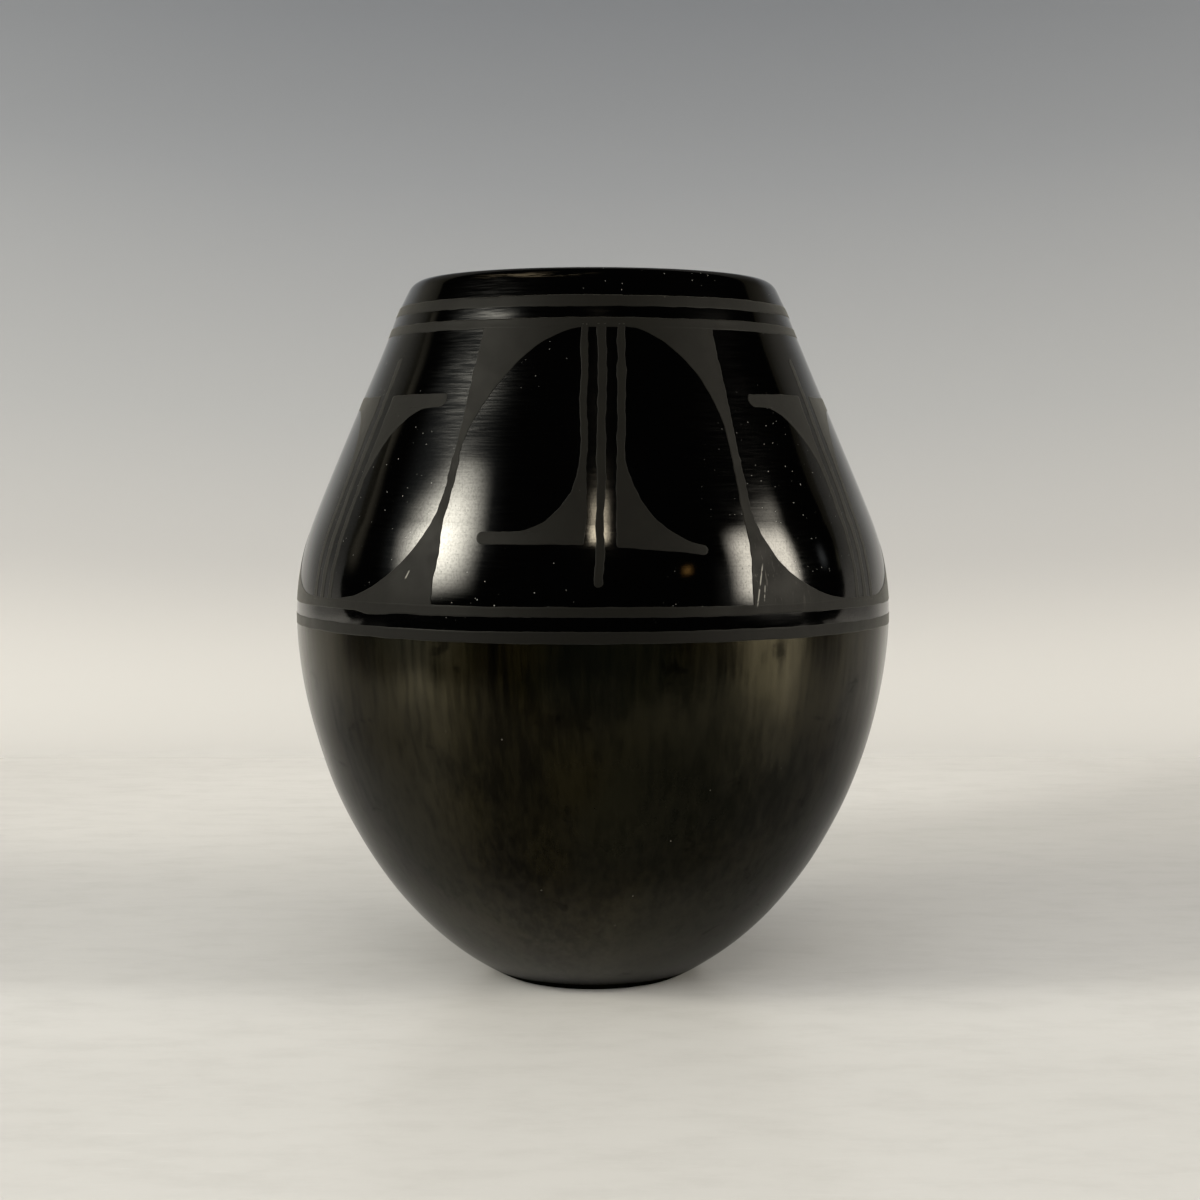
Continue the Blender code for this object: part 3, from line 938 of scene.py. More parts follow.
@dataclass
class ClayPiece:
    """A length of the turned pot, closed into a solid by its joints or by the axis."""

    surface: ClaySurface
    name: str
    stands_for: tuple[str, ...]
    slot: str
    low_joint: Optional[float]
    high_joint: Optional[float]
    columns: int = 432
    outside_step: float = 0.00095
    inside_step: float = 0.0022

    def _runs(self) -> tuple[np.ndarray, np.ndarray]:
        """Distances along the section at the piece's rows, on the outside and on the inside."""
        section = self.surface.section
        lap = section.joint_lap
        start = 0.0 if self.low_joint is None else float(section.outside_run(self.low_joint))
        end = (float(section.run[-1]) if self.low_joint is None
               else float(section.inside_run(self.low_joint - lap)))
        if self.high_joint is None:
            turn = section.lip_top_run
            turn_back = turn
        else:
            turn = float(section.outside_run(self.high_joint))
            turn_back = float(section.inside_run(self.high_joint - lap))
        outside = np.linspace(start, turn, math.ceil((turn - start) / self.outside_step) + 1)
        inside = np.linspace(turn_back, end, math.ceil((end - turn_back) / self.inside_step) + 1)
        return outside, inside[1:] if self.high_joint is None else inside

    def build(self, outer: bpy.types.Material, inner: bpy.types.Material,
              polish_end: float) -> bpy.types.Object:
        """Turn the section into a solid.

        The rows run up the outside and down the inside. Joint faces, or a point on the axis, close
        it. Normals are those of the unbroken surface, so that no seam shows between two pieces.

        Args:
            outer: finish of the outside and the lip.
            inner: finish of the inside.
            polish_end: height on the inside below which the inner finish starts.

        Returns:
            The piece.
        """
        runs = np.concatenate(self._runs())
        has_axis = self.low_joint is None
        ring_runs = runs[1:-1] if has_axis else runs
        rows, columns = len(ring_runs), self.columns
        angle = np.arange(columns) * (2 * math.pi / columns)
        points = self.surface.points(angle[None, :], ring_runs[:, None]).reshape(-1, 3)
        normals = self.surface.normals(angle[None, :], ring_runs[:, None]).reshape(-1, 3)
        quads = grid_faces(rows, columns, True, not has_axis)
        section = self.surface.section
        bare = (ring_runs > section.lip_top_run) & (section.at(ring_runs)[:, 1] < polish_end)
        finish = np.repeat(bare[1:], columns)
        triangles = None
        if has_axis:
            ends = section.at(runs[[0, -1]])[:, 1]
            points = np.concatenate([points, [[0, 0, ends[0]], [0, 0, ends[1]]]])
            normals = np.concatenate([normals, [[0, 0, -1], [0, 0, 1]]])
            triangles = self._caps(rows)
            finish = np.concatenate([finish, np.zeros(columns, bool), np.ones(columns, bool)])
        else:
            finish = np.concatenate([finish, np.ones(columns, bool)])
        piece = add_piece(self.name, points, quads, triangles, [outer, inner])
        piece.data.polygons.foreach_set("material_index", finish.astype(np.int32))
        piece.data.normals_split_custom_set_from_vertices(normals.tolist())
        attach(piece, BODY)
        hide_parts(*self.stands_for)
        log.info("%s: %d points, in place of %s", self.name, len(points),
                 ", ".join(self.stands_for))
        return piece

    def _caps(self, rows: int) -> np.ndarray:
        """Fans of triangles that join the first and the last row to points on the axis."""
        column = np.arange(self.columns)
        beside = (column + 1) % self.columns
        last = (rows - 1) * self.columns
        under = np.full_like(column, rows * self.columns)
        return np.concatenate([np.stack([beside, column, under], axis=1),
                               np.stack([last + column, last + beside, under + 1], axis=1)])


# Brushed slip


@dataclass
class Tremor:
    """Wavering of a hand with a brush: smooth shifts across and along the wall."""

    seed: int
    reach: float = 0.00003
    waves: int = 22
    shortest: float = 0.0016
    longest: float = 0.022
    growth: float = 0.45

    def __post_init__(self) -> None:
        """Draw the waves; longer ones reach further."""
        rng = np.random.default_rng(self.seed)
        lengths = drawn_lengths(rng, self.shortest, self.longest, self.waves)
        heading = drawn_phases(rng, self.waves)
        self.across = 2 * math.pi / lengths * np.cos(heading)
        self.along = 2 * math.pi / lengths * np.sin(heading)
        self.phase = drawn_phases(rng, (2, self.waves))
        self.size = self.reach * (lengths / self.longest) ** self.growth

    def shift(self, across: np.ndarray, along: np.ndarray) -> tuple[np.ndarray, np.ndarray]:
        """Shifts at places given across and along the wall: for each, a sum of plane waves."""
        shifts = []
        for phases in self.phase:
            total = np.zeros(np.broadcast(across, along).shape)
            for first, second, phase, size in zip(self.across, self.along, phases, self.size):
                total += size * np.sin(first * across + second * along + phase)
            shifts.append(total)
        return shifts[0], shifts[1]


@dataclass
class Waver:
    """Wavering of one edge along a brush stroke: a sum of sines of many lengths."""

    seed: int
    reach: float = 0.00006
    waves: int = 14
    shortest: float = 0.0016
    longest: float = 0.03

    def __post_init__(self) -> None:
        """Draw the waves."""
        rng = np.random.default_rng(self.seed)
        self.lengths = drawn_lengths(rng, self.shortest, self.longest, self.waves)
        self.phase = drawn_phases(rng, self.waves)

    def shift(self, along: np.ndarray) -> np.ndarray:
        """Sideways shift at distances along the edge; longer waves reach further."""
        size = self.reach * np.sqrt(self.lengths / self.longest)
        turn = 2 * math.pi * along[..., None] / self.lengths + self.phase
        return (size * np.sin(turn)).sum(axis=-1)


@dataclass
class Slip:
    """What every sheet of slip shares: its thickness, its soft edge and the surface below.

    The edge is how far in the slip reaches its full height, and the lean is the angle by which the
    figures drift round the vase from the waist to the rim.
    """

    surface: ClaySurface
    finish: bpy.types.Material
    thickness: float = 0.00006
    edge: float = 0.00028
    sunk: float = 0.00004
    bead: float = 0.35
    bead_width: float = 0.9
    lean: float = math.radians(1.6)
    ring_columns: int = 1440

    def place(self, name: str, node: str, points: np.ndarray, quads: np.ndarray) -> None:
        """Put a sheet into the scene in place of its CAD node."""
        piece = add_piece(name, points, quads, None, [self.finish])
        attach(piece, BODY)
        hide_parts(node)
        log.info("%s: %d points, in place of %s", name, len(points), node)

    def rise(self, distance: np.ndarray) -> np.ndarray:
        """Height of the slip over the clay: a quarter round up from its edge to a low bead."""
        inward = np.clip(distance / self.edge, 0, 1)
        bead = self.bead * np.exp(-((distance - self.edge) / (self.bead_width * self.edge)) ** 2)
        return self.thickness * np.sqrt(1 - (1 - inward) ** 2) * (1 + bead)


def crowding_to_ends(count: int) -> np.ndarray:
    """Shares from 0 to 1 that crowd towards both ends, as half a cosine wave does."""
    return 0.5 - 0.5 * np.cos(np.linspace(0, math.pi, count))


@dataclass
class RingLine:
    """A line of slip brushed right round the vase.

    The brush trembles in slow, quick and very quick waves. On one side the lower edge may swell
    out. The line stands a little higher than the figures that run under it.
    """

    node: str
    low: float
    high: float
    seed: int
    waver: float = 0.00004
    waves: tuple = ((2, 9, 4, 0.9), (12, 60, 8, 0.42), (70, 190, 6, 0.18))
    swelling: float = 0.0
    swelling_angle: float = 0.0
    swelling_reach: float = 0.07
    fullness: float = 1.08
    rows: int = 13

    def _edge(self, rng: np.random.Generator, angle: np.ndarray, height: float) -> np.ndarray:
        """Heights of an edge: a level plus a sum of cosines that close on themselves."""
        turns = np.concatenate([rng.integers(least, most, count)
                                for least, most, count, _ in self.waves])
        sizes = self.waver * np.concatenate([np.full(count, size)
                                             for _, _, count, size in self.waves])
        phases = drawn_phases(rng, len(turns))
        waves = sizes[:, None] * np.cos(turns[:, None] * angle[None, :] + phases[:, None])
        return height + waves.sum(axis=0)

    def build(self, slip: Slip) -> None:
        """Carry a thin section round the vase between two wavering edges.

        Across the line the points crowd towards the edges, where the slip rises from the clay.
        Two more rows under the clay close the section.
        """
        rng = np.random.default_rng(self.seed)
        angle = np.arange(slip.ring_columns) * (2 * math.pi / slip.ring_columns)
        low, high = (self._edge(rng, angle, height) for height in (self.low, self.high))
        away = (angle - self.swelling_angle + math.pi) % (2 * math.pi) - math.pi
        low = low - self.swelling * np.exp(-(away / self.swelling_reach) ** 4)
        share = crowding_to_ends(self.rows)
        height = low + share[:, None] * (high - low)
        distance = np.minimum(share, 1 - share)[:, None] * (high - low)
        angles = np.broadcast_to(angle, height.shape)
        top = slip.surface.outside(angles, height, slip.rise(distance) * self.fullness)
        bottom = slip.surface.outside(angles[[-1, 0]], height[[-1, 0]],
                                      np.full((2, len(angle)), -slip.sunk))
        points = np.concatenate([top, bottom])
        quads = grid_faces(len(points), len(angle), True, True)
        slip.place(f"brushed_{self.node}", self.node, points.reshape(-1, 3), quads)


@dataclass
class Figure:
    """A figure of slip, given by its left and right edges at each of its heights.

    The slope shears it about a height, within a reach, where a foot slants. An open end runs on
    under another line, so the slip doesn't thin out there.
    """

    node: str
    seed: int
    heights: np.ndarray
    left: np.ndarray
    right: np.ndarray
    slope: float = 0.0
    slope_from: float = 0.0
    slope_height: float = 0.0
    slope_reach: float = 0.012
    open_ends: tuple[bool, bool] = (True, True)
    right_seed_step: int = 500
    columns: int = 22
    fullness: float = 1.0

    def build(self, slip: Slip) -> None:
        """Fill the figure with a grid of points that crowd towards its edges, and thicken it.

        A row's points lie between its left and right edges. The grid is then sheared where a foot
        slants, and shifted by the hand's tremor. The slip rises from the clay over a short way in
        from the edges, measured in the wall's developed surface.
        """
        section = slip.surface.section
        share = crowding_to_ends(self.columns)
        radius = section.outer_radius(self.heights)[:, None]
        left = self.left + Waver(self.seed).shift(self.heights) / radius[:, 0]
        right = (self.right
                 + Waver(self.seed + self.right_seed_step).shift(self.heights) / radius[:, 0])
        angle = left[:, None] + share * (right - left)[:, None]
        height = np.broadcast_to(self.heights[:, None], angle.shape).copy()
        near = np.exp(-((height - self.slope_height) / self.slope_reach) ** 4)
        height += self.slope * (angle * radius - self.slope_from) * near
        shift_across, shift_along = Tremor(self.seed).shift(angle * radius, height)
        angle = angle + shift_across / radius
        height = height + shift_along
        flat = np.stack([angle * radius, height], axis=-1)
        rim = [flat[:, 0], flat[:, -1]]
        rim += [flat[0]] * (not self.open_ends[0]) + [flat[-1]] * (not self.open_ends[1])
        distance = _distance_to(flat.reshape(-1, 2), np.concatenate(rim)).reshape(height.shape)
        middle = (section.waist_joint + section.rim_joint) / 2
        span = section.rim_joint - section.waist_joint
        angle = angle + slip.lean * (height - middle) / span
        top = slip.surface.outside(angle, height, slip.rise(distance) * self.fullness)
        under = slip.surface.outside(angle, height, np.full(height.shape, -slip.sunk))
        rows, columns = height.shape
        faces = grid_faces(rows, columns)
        count = rows * columns
        ring = np.concatenate([
            np.arange(columns - 1), np.arange(rows - 1) * columns + columns - 1,
            (rows - 1) * columns + np.arange(columns - 1, 0, -1),
            np.arange(rows - 1, 0, -1) * columns])
        after = np.roll(ring, -1)
        sides = np.stack([ring, ring + count, after + count, after], axis=1)
        quads = np.concatenate([faces, faces[:, ::-1] + count, sides])
        points = np.concatenate([top.reshape(-1, 3), under.reshape(-1, 3)])
        slip.place(f"brushed_{self.node}", self.node, points, quads)


def _distance_to(points: np.ndarray, rim: np.ndarray, batch: int = 64) -> np.ndarray:
    """Distance from each point to the nearest point of a rim, worked out batch by batch."""
    nearest = np.full(len(points), np.inf)
    for part in np.array_split(rim, max(1, len(rim) // batch)):
        gap = points[:, None, :] - part[None, :, :]
        nearest = np.minimum(nearest, np.hypot(gap[..., 0], gap[..., 1]).min(axis=1))
    return nearest


def crowded(low: float, high: float, step: float, near: list[float], fine: float,
            reach: float = 0.0009) -> np.ndarray:
    """Values from low to high at a step, with finer ones round some places.

    Args:
        low: first value.
        high: last value.
        step: usual distance between values.
        near: places that get finer values round them.
        fine: distance between the finer values.
        reach: how far from a place they go.

    Returns:
        The sorted values.
    """
    values = [np.linspace(low, high, math.ceil((high - low) / step) + 1)]
    for place in near:
        values.append(np.clip(np.arange(place - reach, place + reach, fine), low, high))
    return np.unique(np.round(np.concatenate(values), 7))


class Way(Enum):
    """Which line the stripes of a panel start at."""

    HANGS = -1
    STANDS = 1


@dataclass
class Panel:
    """One panel of the band, with three stripes that hang from the neck or stand on the waist.

    Depths run from the line that the stripes start at. Distances run from the panel's middle.
    """

    number: int
    middle: float
    top: float
    bottom: float
    way: Way
    centre_shift: float = 0.0
    centre_width: float = 0.0022
    centre_tail: float = 0.0019
    tail_gap: float = 0.0045
    overlap: float = 0.0008

    def height(self, depth: np.ndarray) -> np.ndarray:
        """Height of a depth into the panel."""
        if self.way is Way.HANGS:
            return self.top - np.asarray(depth)
        return self.bottom + np.asarray(depth)

    def centre_stripe(self, slip: Slip) -> Figure:
        """Straight stripe that narrows slightly, with a round end."""
        tail = self.top - self.bottom - self.tail_gap
        round_part = self.centre_tail / 2
        depth = crowded(-self.overlap, tail, step=0.0004, near=[tail], fine=0.00006)
        into = np.clip(depth - (tail - round_part), 0, round_part)
        taper = 1 + (self.centre_width / self.centre_tail - 1) * (1 - np.clip(depth / tail, 0, 1))
        half = np.sqrt(np.maximum(round_part ** 2 - into ** 2, 1e-10)) * taper
        height = self.height(depth)
        order = np.argsort(height)
        height, half = height[order], half[order]
        radius = slip.surface.section.outer_radius(height)
        start_low = self.way is Way.STANDS
        return Figure(f"centre_stripe_{self.number}", seed=40 + self.number, heights=height,
                      left=self.middle + (self.centre_shift - half) / radius,
                      right=self.middle + (self.centre_shift + half) / radius,
                      open_ends=(start_low, not start_low), columns=14)


@dataclass
class FlaredStripe:
    """A stripe that runs straight, then sweeps out to a toe, as a leg does to a foot.

    The sweep is a quarter of a superellipse, and the toe has a round end. The sole may slope.
    """

    panel: Panel
    side: int
    inner: float = 0.0033
    outer: float = 0.0051
    sweep_start: float = 0.0305
    sweep_end: float = 0.0225
    toe_end: float = 0.0262
    toe_top: float = 0.0471
    sole: float = 0.0500
    power: float = 1.8
    corner: float = 0.0005
    slope: float = 0.0

    def build(self, slip: Slip) -> None:
        """Work out the edges at each depth and fill the figure."""
        round_toe = (self.sole - self.toe_top) / 2
        depth = crowded(-self.panel.overlap, self.sole, step=0.00045,
                        near=[self.toe_top, self.sole], fine=0.00008)
        share = np.clip((depth - self.sweep_start) / (self.toe_top - self.sweep_start), 0, 1)
        swept = self.outer + (self.sweep_end - self.outer) * (
            1 - (1 - share ** self.power) ** (1 / self.power))
        across = np.clip(depth - self.toe_top - round_toe, -round_toe, round_toe)
        toe = self.toe_end - round_toe + np.sqrt(np.maximum(round_toe ** 2 - across ** 2, 0))
        outer = np.where(depth > self.toe_top, toe, swept)
        into = np.clip(depth - (self.sole - self.corner), 0, self.corner)
        inner = self.inner + self.corner - np.sqrt(np.maximum(self.corner ** 2 - into ** 2, 0))
        height = self.panel.height(depth)
        order = np.argsort(height)
        height, inner, outer = height[order], inner[order], outer[order]
        radius = slip.surface.section.outer_radius(height)
        near, far = self.side * inner / radius, self.side * outer / radius
        left, right = (far, near) if self.side < 0 else (near, far)
        start_low = self.panel.way is Way.STANDS
        name = "left" if self.side < 0 else "right"
        sole = self.panel.height(self.sole)
        middle_run = self.panel.middle * float(slip.surface.section.outer_radius(sole))
        Figure(f"flared_stripe_{self.panel.number}_{name}",
               seed=60 + 2 * self.panel.number + (self.side > 0), heights=height,
               left=self.panel.middle + left, right=self.panel.middle + right,
               slope=self.slope, slope_from=self.side * self.inner + middle_run,
               slope_height=float(sole), open_ends=(start_low, not start_low),
               columns=30).build(slip)


@dataclass
class Divider:
    """Figure between two panels: a thin upright that sweeps out under both their arches."""

    number: int
    boundary: float
    left: Panel
    right: Panel
    width: float = 0.0022
    left_height: float = 0.027
    right_height: float = 0.027
    left_reach: float = math.radians(25.5)
    right_reach: float = math.radians(25.0)
    left_power: float = 1.9
    right_power: float = 1.9

    @staticmethod
    def _sweep(panel: Panel, height: np.ndarray, arch: float, reach: float,
               power: float) -> np.ndarray:
        """Angle that the divider sweeps out at heights: a quarter of a superellipse."""
        depth = (panel.top - height) if panel.way is Way.HANGS else (height - panel.bottom)
        share = np.clip(1 - depth / arch, 0, 1)
        return reach * (1 - (1 - share ** power) ** (1 / power))

    def build(self, slip: Slip) -> None:
        """Work out both edges at each height and fill the figure."""
        low = self.left.bottom - self.left.overlap
        high = self.left.top + self.left.overlap
        height = crowded(low, high, step=0.0004, near=[self.left.bottom, self.left.top],
                         fine=0.00012)
        half = self.width / 2 / slip.surface.section.outer_radius(height)
        left = half + self._sweep(self.left, height, self.left_height, self.left_reach,
                                  self.left_power)
        right = half + self._sweep(self.right, height, self.right_height, self.right_reach,
                                   self.right_power)
        Figure(f"divider_{self.number}", seed=90 + self.number, heights=height,
               left=self.boundary - left, right=self.boundary + right, columns=34,
               fullness=0.96).build(slip)


@dataclass
class Ornament:
    """Every line and figure of slip on the vase.

    Panels and the boundaries to their right are given in degrees round the axis. The kinds of
    stripe and divider that differ from the usual one are those of the standing panels, and the
    front ones that the photograph shows most clearly.
    """

    slip: Slip
    outer_line: float = 0.0027
    inner_line: float = 0.00235
    neck_drop: float = 0.00695
    neck_gap: float = 0.0027
    waist_rise: float = 0.0057
    waist_gap: float = 0.00315
    middles: tuple[float, ...] = (1.4, 60.6, 120.9, 180.6, 240.9, 301.3)
    boundaries: tuple[float, ...] = (30.4, 90.8, 150.6, 210.8, 270.9, 330.9)

    def build(self) -> None:
        """Brush the lines, then the panels from left to right, then what parts them."""
        section = self.slip.surface.section
        neck_top = section.height - self.neck_drop
        neck_inner = neck_top - self.outer_line - self.neck_gap
        waist_inner = section.belly_height + self.waist_rise
        waist_outer = waist_inner - self.inner_line - self.waist_gap
        for line in (RingLine("neck_line_upper", neck_top - self.outer_line, neck_top, 11),
                     RingLine("neck_line_lower", neck_inner - self.inner_line, neck_inner, 12),
                     RingLine("waist_line_upper", waist_inner - self.inner_line, waist_inner, 13,
                              swelling=0.0006, swelling_angle=math.radians(-42)),
                     RingLine("waist_line_lower", waist_outer - self.outer_line, waist_outer, 14)):
            line.build(self.slip)

        panels = [self._panel(number, neck_inner - self.inner_line, waist_inner)
                  for number in range(1, len(self.middles) + 1)]
        for panel in panels:
            panel.centre_stripe(self.slip).build(self.slip)
            for side in (-1, 1):
                self._flared(panel, side).build(self.slip)
        for number, (left, right) in enumerate(zip(panels, panels[1:] + panels[:1]), 1):
            self._divider(number, left, right).build(self.slip)

    def _panel(self, number: int, top: float, bottom: float) -> Panel:
        """One of the panels, whose stripes hang and stand in turn."""
        middle = math.radians(self.middles[number - 1])
        if number == 1:
            return Panel(number, middle, top, bottom, Way.HANGS, centre_shift=0.0002,
                         centre_width=0.0021)
        if number % 2 == 0:
            return Panel(number, middle, top, bottom, Way.STANDS, tail_gap=0.006)
        return Panel(number, middle, top, bottom, Way.HANGS)

    def _flared(self, panel: Panel, side: int) -> FlaredStripe:
        """The flared stripe on one side of a panel."""
        if panel.way is Way.STANDS:
            return FlaredStripe(panel, side, sweep_start=0.0268, sweep_end=0.0195,
                                toe_end=0.0237, toe_top=0.0452, sole=0.0484)
        if panel.number == 1 and side < 0:
            return FlaredStripe(panel, side, inner=0.0031, outer=0.0047, sweep_start=0.0303,
                                sweep_end=0.0195, toe_end=0.0284, toe_top=0.0469, sole=0.0498,
                                power=1.85)
        if panel.number == 1:
            return FlaredStripe(panel, side, inner=0.0037, outer=0.0056, sweep_start=0.0303,
                                sweep_end=0.0240, toe_end=0.0250, toe_top=0.0481, sole=0.0502,
                                power=1.7, slope=-0.093)
        return FlaredStripe(panel, side)

    def _divider(self, number: int, left: Panel, right: Panel) -> Divider:
        """The divider on the right of a panel."""
        boundary = math.radians(self.boundaries[number - 1])
        if number == 1:
            return Divider(number, boundary, left, right, width=0.00235, left_height=0.0245,
                           left_reach=math.radians(21.0), left_power=1.75,
                           right_height=0.0245, right_power=2.1)
        if number == 6:
            return Divider(number, boundary, left, right, width=0.00185, left_height=0.029,
                           left_power=2.1, right_height=0.028,
                           right_reach=math.radians(24.6), right_power=1.7)
        return Divider(number, boundary, left, right)


# Studio


@dataclass
class Sweep:
    """Pale table that turns up behind the vase into a backdrop, with painted shade darker towards
    its top.

    Steepness is height over the distance from the vase's axis. Pairs of numbers are where a tone
    starts and where it is full: depths, widths, heights and distances in metres, or steepnesses.
    """

    front: float = -0.19
    bend_start: float = 0.36
    bend_radius: float = 0.34
    top: float = 1.0
    half_width: float = 1.85
    # Painted shade: the tones darken with steepness, so the backdrop goes dusky towards its top as
    # light falls off.
    tones: tuple = ((0.0, 0.58, 0.568, 0.550), (0.10, 0.528, 0.518, 0.508),
                    (0.34, 0.367, 0.373, 0.384), (0.60, 0.243, 0.254, 0.276),
                    (0.82, 0.167, 0.178, 0.200), (1.0, 0.05, 0.050, 0.050))
    tone_steepness: float = 0.7
    # Painted light and shadow on the table: a slanting shadow edge, lighter far off, a pool of
    # light behind the vase, lighter round it and in front of it.
    away_depths: Ends = (0.09, 0.21)
    shadow_slant: float = 0.75
    far_steepness: Ends = (0.14, 0.0)
    far_painted_light: Colour = (0.718, 0.704, 0.680, 1)
    pool_depths: Ends = (0.42, 0.33)
    pool_widths: Ends = (0.26, 0.10)
    painted_light_pool: Colour = (0.81, 0.795, 0.768, 1)
    near_distances: Ends = (0.34, 0.10)
    near_painted_light: Colour = (0.640, 0.632, 0.612, 1)
    lit_depths: Ends = (-0.008, -0.034)
    painted_lit_strip: Colour = (0.712, 0.704, 0.684, 1)
    front_depths: Ends = (-0.045, -0.11)
    front_painted_light: Colour = (0.665, 0.657, 0.637, 1)
    # Painted shade: the backdrop goes dark far to the sides, more on the left, and dusky towards
    # its top.
    side_widths: Ends = (0.38, 0.85)
    side_heights: Ends = (0.0, 0.06)
    side_shares: Ends = (0.60, 0.52)
    side_change: float = 0.4
    black: Colour = (0, 0, 0, 1)
    dusk_steepness: tuple[float, float, float, float] = (0.08, 0.36, 0, 0.5)
    end_slant: float = 1.2
    end_widths: Ends = (2.35, 2.43)
    top_steepness: Ends = (0.45, 0.62)
    painted_dusk_shade: Colour = (0.020, 0.018, 0.011, 1)
    table_heights: Ends = (0.004, 0.0)
    room_widths: Ends = (0.36, 0.56)
    room_depths: Ends = (0.2, 0.1)
    room_tone: Colour = (0.01, 0.01, 0.01, 1)
    scratch: Colour = (0.84, 0.835, 0.82, 1)
    scratch_cells: Stretch = (60, 700, 700)
    scratch_share: float = 0.25
    worn_cells: float = 14
    grime: Colour = (0.36, 0.35, 0.33, 1)
    grime_cells: Stretch = (40, 90, 90)
    grime_share: float = 0.16
    board_roughness: float = 0.42
    table_roughness: float = 0.27
    index: float = 1.33

    def build(self) -> None:
        """Carry a table-and-backdrop line sideways: level, a quarter turn, then upright."""
        turn = np.linspace(-math.pi / 2, 0, 33)
        line = np.concatenate([
            [[self.front, 0.0]],
            np.stack([self.bend_start + self.bend_radius * np.cos(turn),
                      self.bend_radius * (1 + np.sin(turn))], axis=1),
            [[self.bend_start + self.bend_radius, self.top]]])
        across = np.linspace(-self.half_width, self.half_width, 9)
        points = np.stack(np.broadcast_arrays(across[None, :], line[:, 0, None],
                                              line[:, 1, None]), axis=-1)
        quads = grid_faces(len(line), len(across))
        sheet = add_piece("sweep", points.reshape(-1, 3), quads, None, [self._finish()])
        log.info("sweep: table and backdrop")

    def _finish(self) -> bpy.types.Material:
        """Painted board whose colour holds painted light and shade: pale at the table, dusky at the
        top, with a low sheen and scratches.
        """
        mix = Recipe("table and backdrop")
        reach = mix.calculate("SQRT", mix.add(mix.product(mix.across, mix.across),
                                              mix.product(mix.depth, mix.depth)))
        steepness = mix.calculate("DIVIDE", mix.height, reach)
        sideways = mix.size(mix.across)
        level = mix.spread(mix.height, *self.table_heights)
        # Painted shade: the backdrop's colour darkens with steepness towards its top.
        backdrop = mix.ramp(mix.calculate("DIVIDE", steepness, self.tone_steepness), self.tones)
        tone = mix.layered(backdrop, [
            *self._light(mix, reach, steepness, sideways),
            *self._shade(mix, steepness, sideways),
            (self._room_share(mix, sideways, level), self.room_tone),
            *self._wear(mix, level)])
        mix.join(tone, "Base Color")
        mix.join(mix.spread(level, 0, 1, self.board_roughness, self.table_roughness), "Roughness")
        mix.set(IOR=self.index)
        return mix.material

    def _light(self, mix: Recipe, reach: Socket, steepness: Socket,
               sideways: Socket) -> list[tuple[Socket, Colour]]:
        """Painted light on the table: far off past a slanting painted shadow edge, a pool of light
        behind the vase, round it, and in front of it.
        """
        # Painted shadow: the lit far part starts further back on the right.
        slant = mix.product(mix.larger(mix.across, 0), self.shadow_slant)
        away = mix.spread(mix.less(mix.depth, slant), *self.away_depths)
        return [
            (mix.product(away, mix.spread(steepness, *self.far_steepness)), self.far_painted_light),
            (mix.product(away, mix.spread(mix.depth, *self.pool_depths),
                         mix.spread(sideways, *self.pool_widths)), self.painted_light_pool),
            (mix.spread(reach, *self.near_distances), self.near_painted_light),
            (mix.spread(mix.depth, *self.lit_depths), self.painted_lit_strip),
            (mix.spread(mix.depth, *self.front_depths), self.front_painted_light)]

    def _shade(self, mix: Recipe, steepness: Socket,
               sideways: Socket) -> list[tuple[Socket, Colour]]:
        """Painted shade on the backdrop: dark far to the sides, towards its top and past its
        slanting ends.
        """
        aside = mix.spread(sideways, *self.side_widths)
        raised = mix.spread(mix.height, *self.side_heights)
        uneven = mix.spread(mix.across, -self.side_change, self.side_change, *self.side_shares)
        edge = mix.add(sideways, mix.product(mix.height, self.end_slant))
        gone = mix.larger(mix.spread(edge, *self.end_widths),
                          mix.product(aside, mix.spread(steepness, *self.top_steepness)))
        # Painted shade: black far to the sides, a dusky top and darkness past the slanting ends.
        return [
            (mix.product(aside, raised, uneven), self.black),
            (mix.product(aside, mix.spread(steepness, *self.dusk_steepness)), self.painted_dusk_shade),
            (gone, self.painted_dusk_shade)]

    def _room_share(self, mix: Recipe, sideways: Socket, level: Socket) -> Socket:
        """Where the table ends for all but the camera, so that the polish reflects a dark room."""
        path = mix.nodes.new("ShaderNodeLightPath")
        unseen = mix.less(1, path.outputs["Is Camera Ray"])
        beyond = mix.product(mix.spread(sideways, *self.room_widths),
                             mix.spread(mix.depth, *self.room_depths))
        return mix.product(beyond, unseen, level)

    def _wear(self, mix: Recipe, level: Socket) -> list[tuple[Socket, Colour]]:
        """Fine pale scratches in worn patches of the table, and a little grime."""
        scratches = mix.spread(mix.strokes(self.scratch_cells, 4, 0.6, 0.3), 0.58, 0.76)
        worn = mix.spread(mix.noise(self.worn_cells, 3), 0.38, 0.62)
        grime = mix.spread(mix.strokes(self.grime_cells, 6, 0.7), 0.4, 0.75)
        return [(mix.product(scratches, worn, level, self.scratch_share), self.scratch),
                (mix.product(grime, level, self.grime_share), self.grime)]


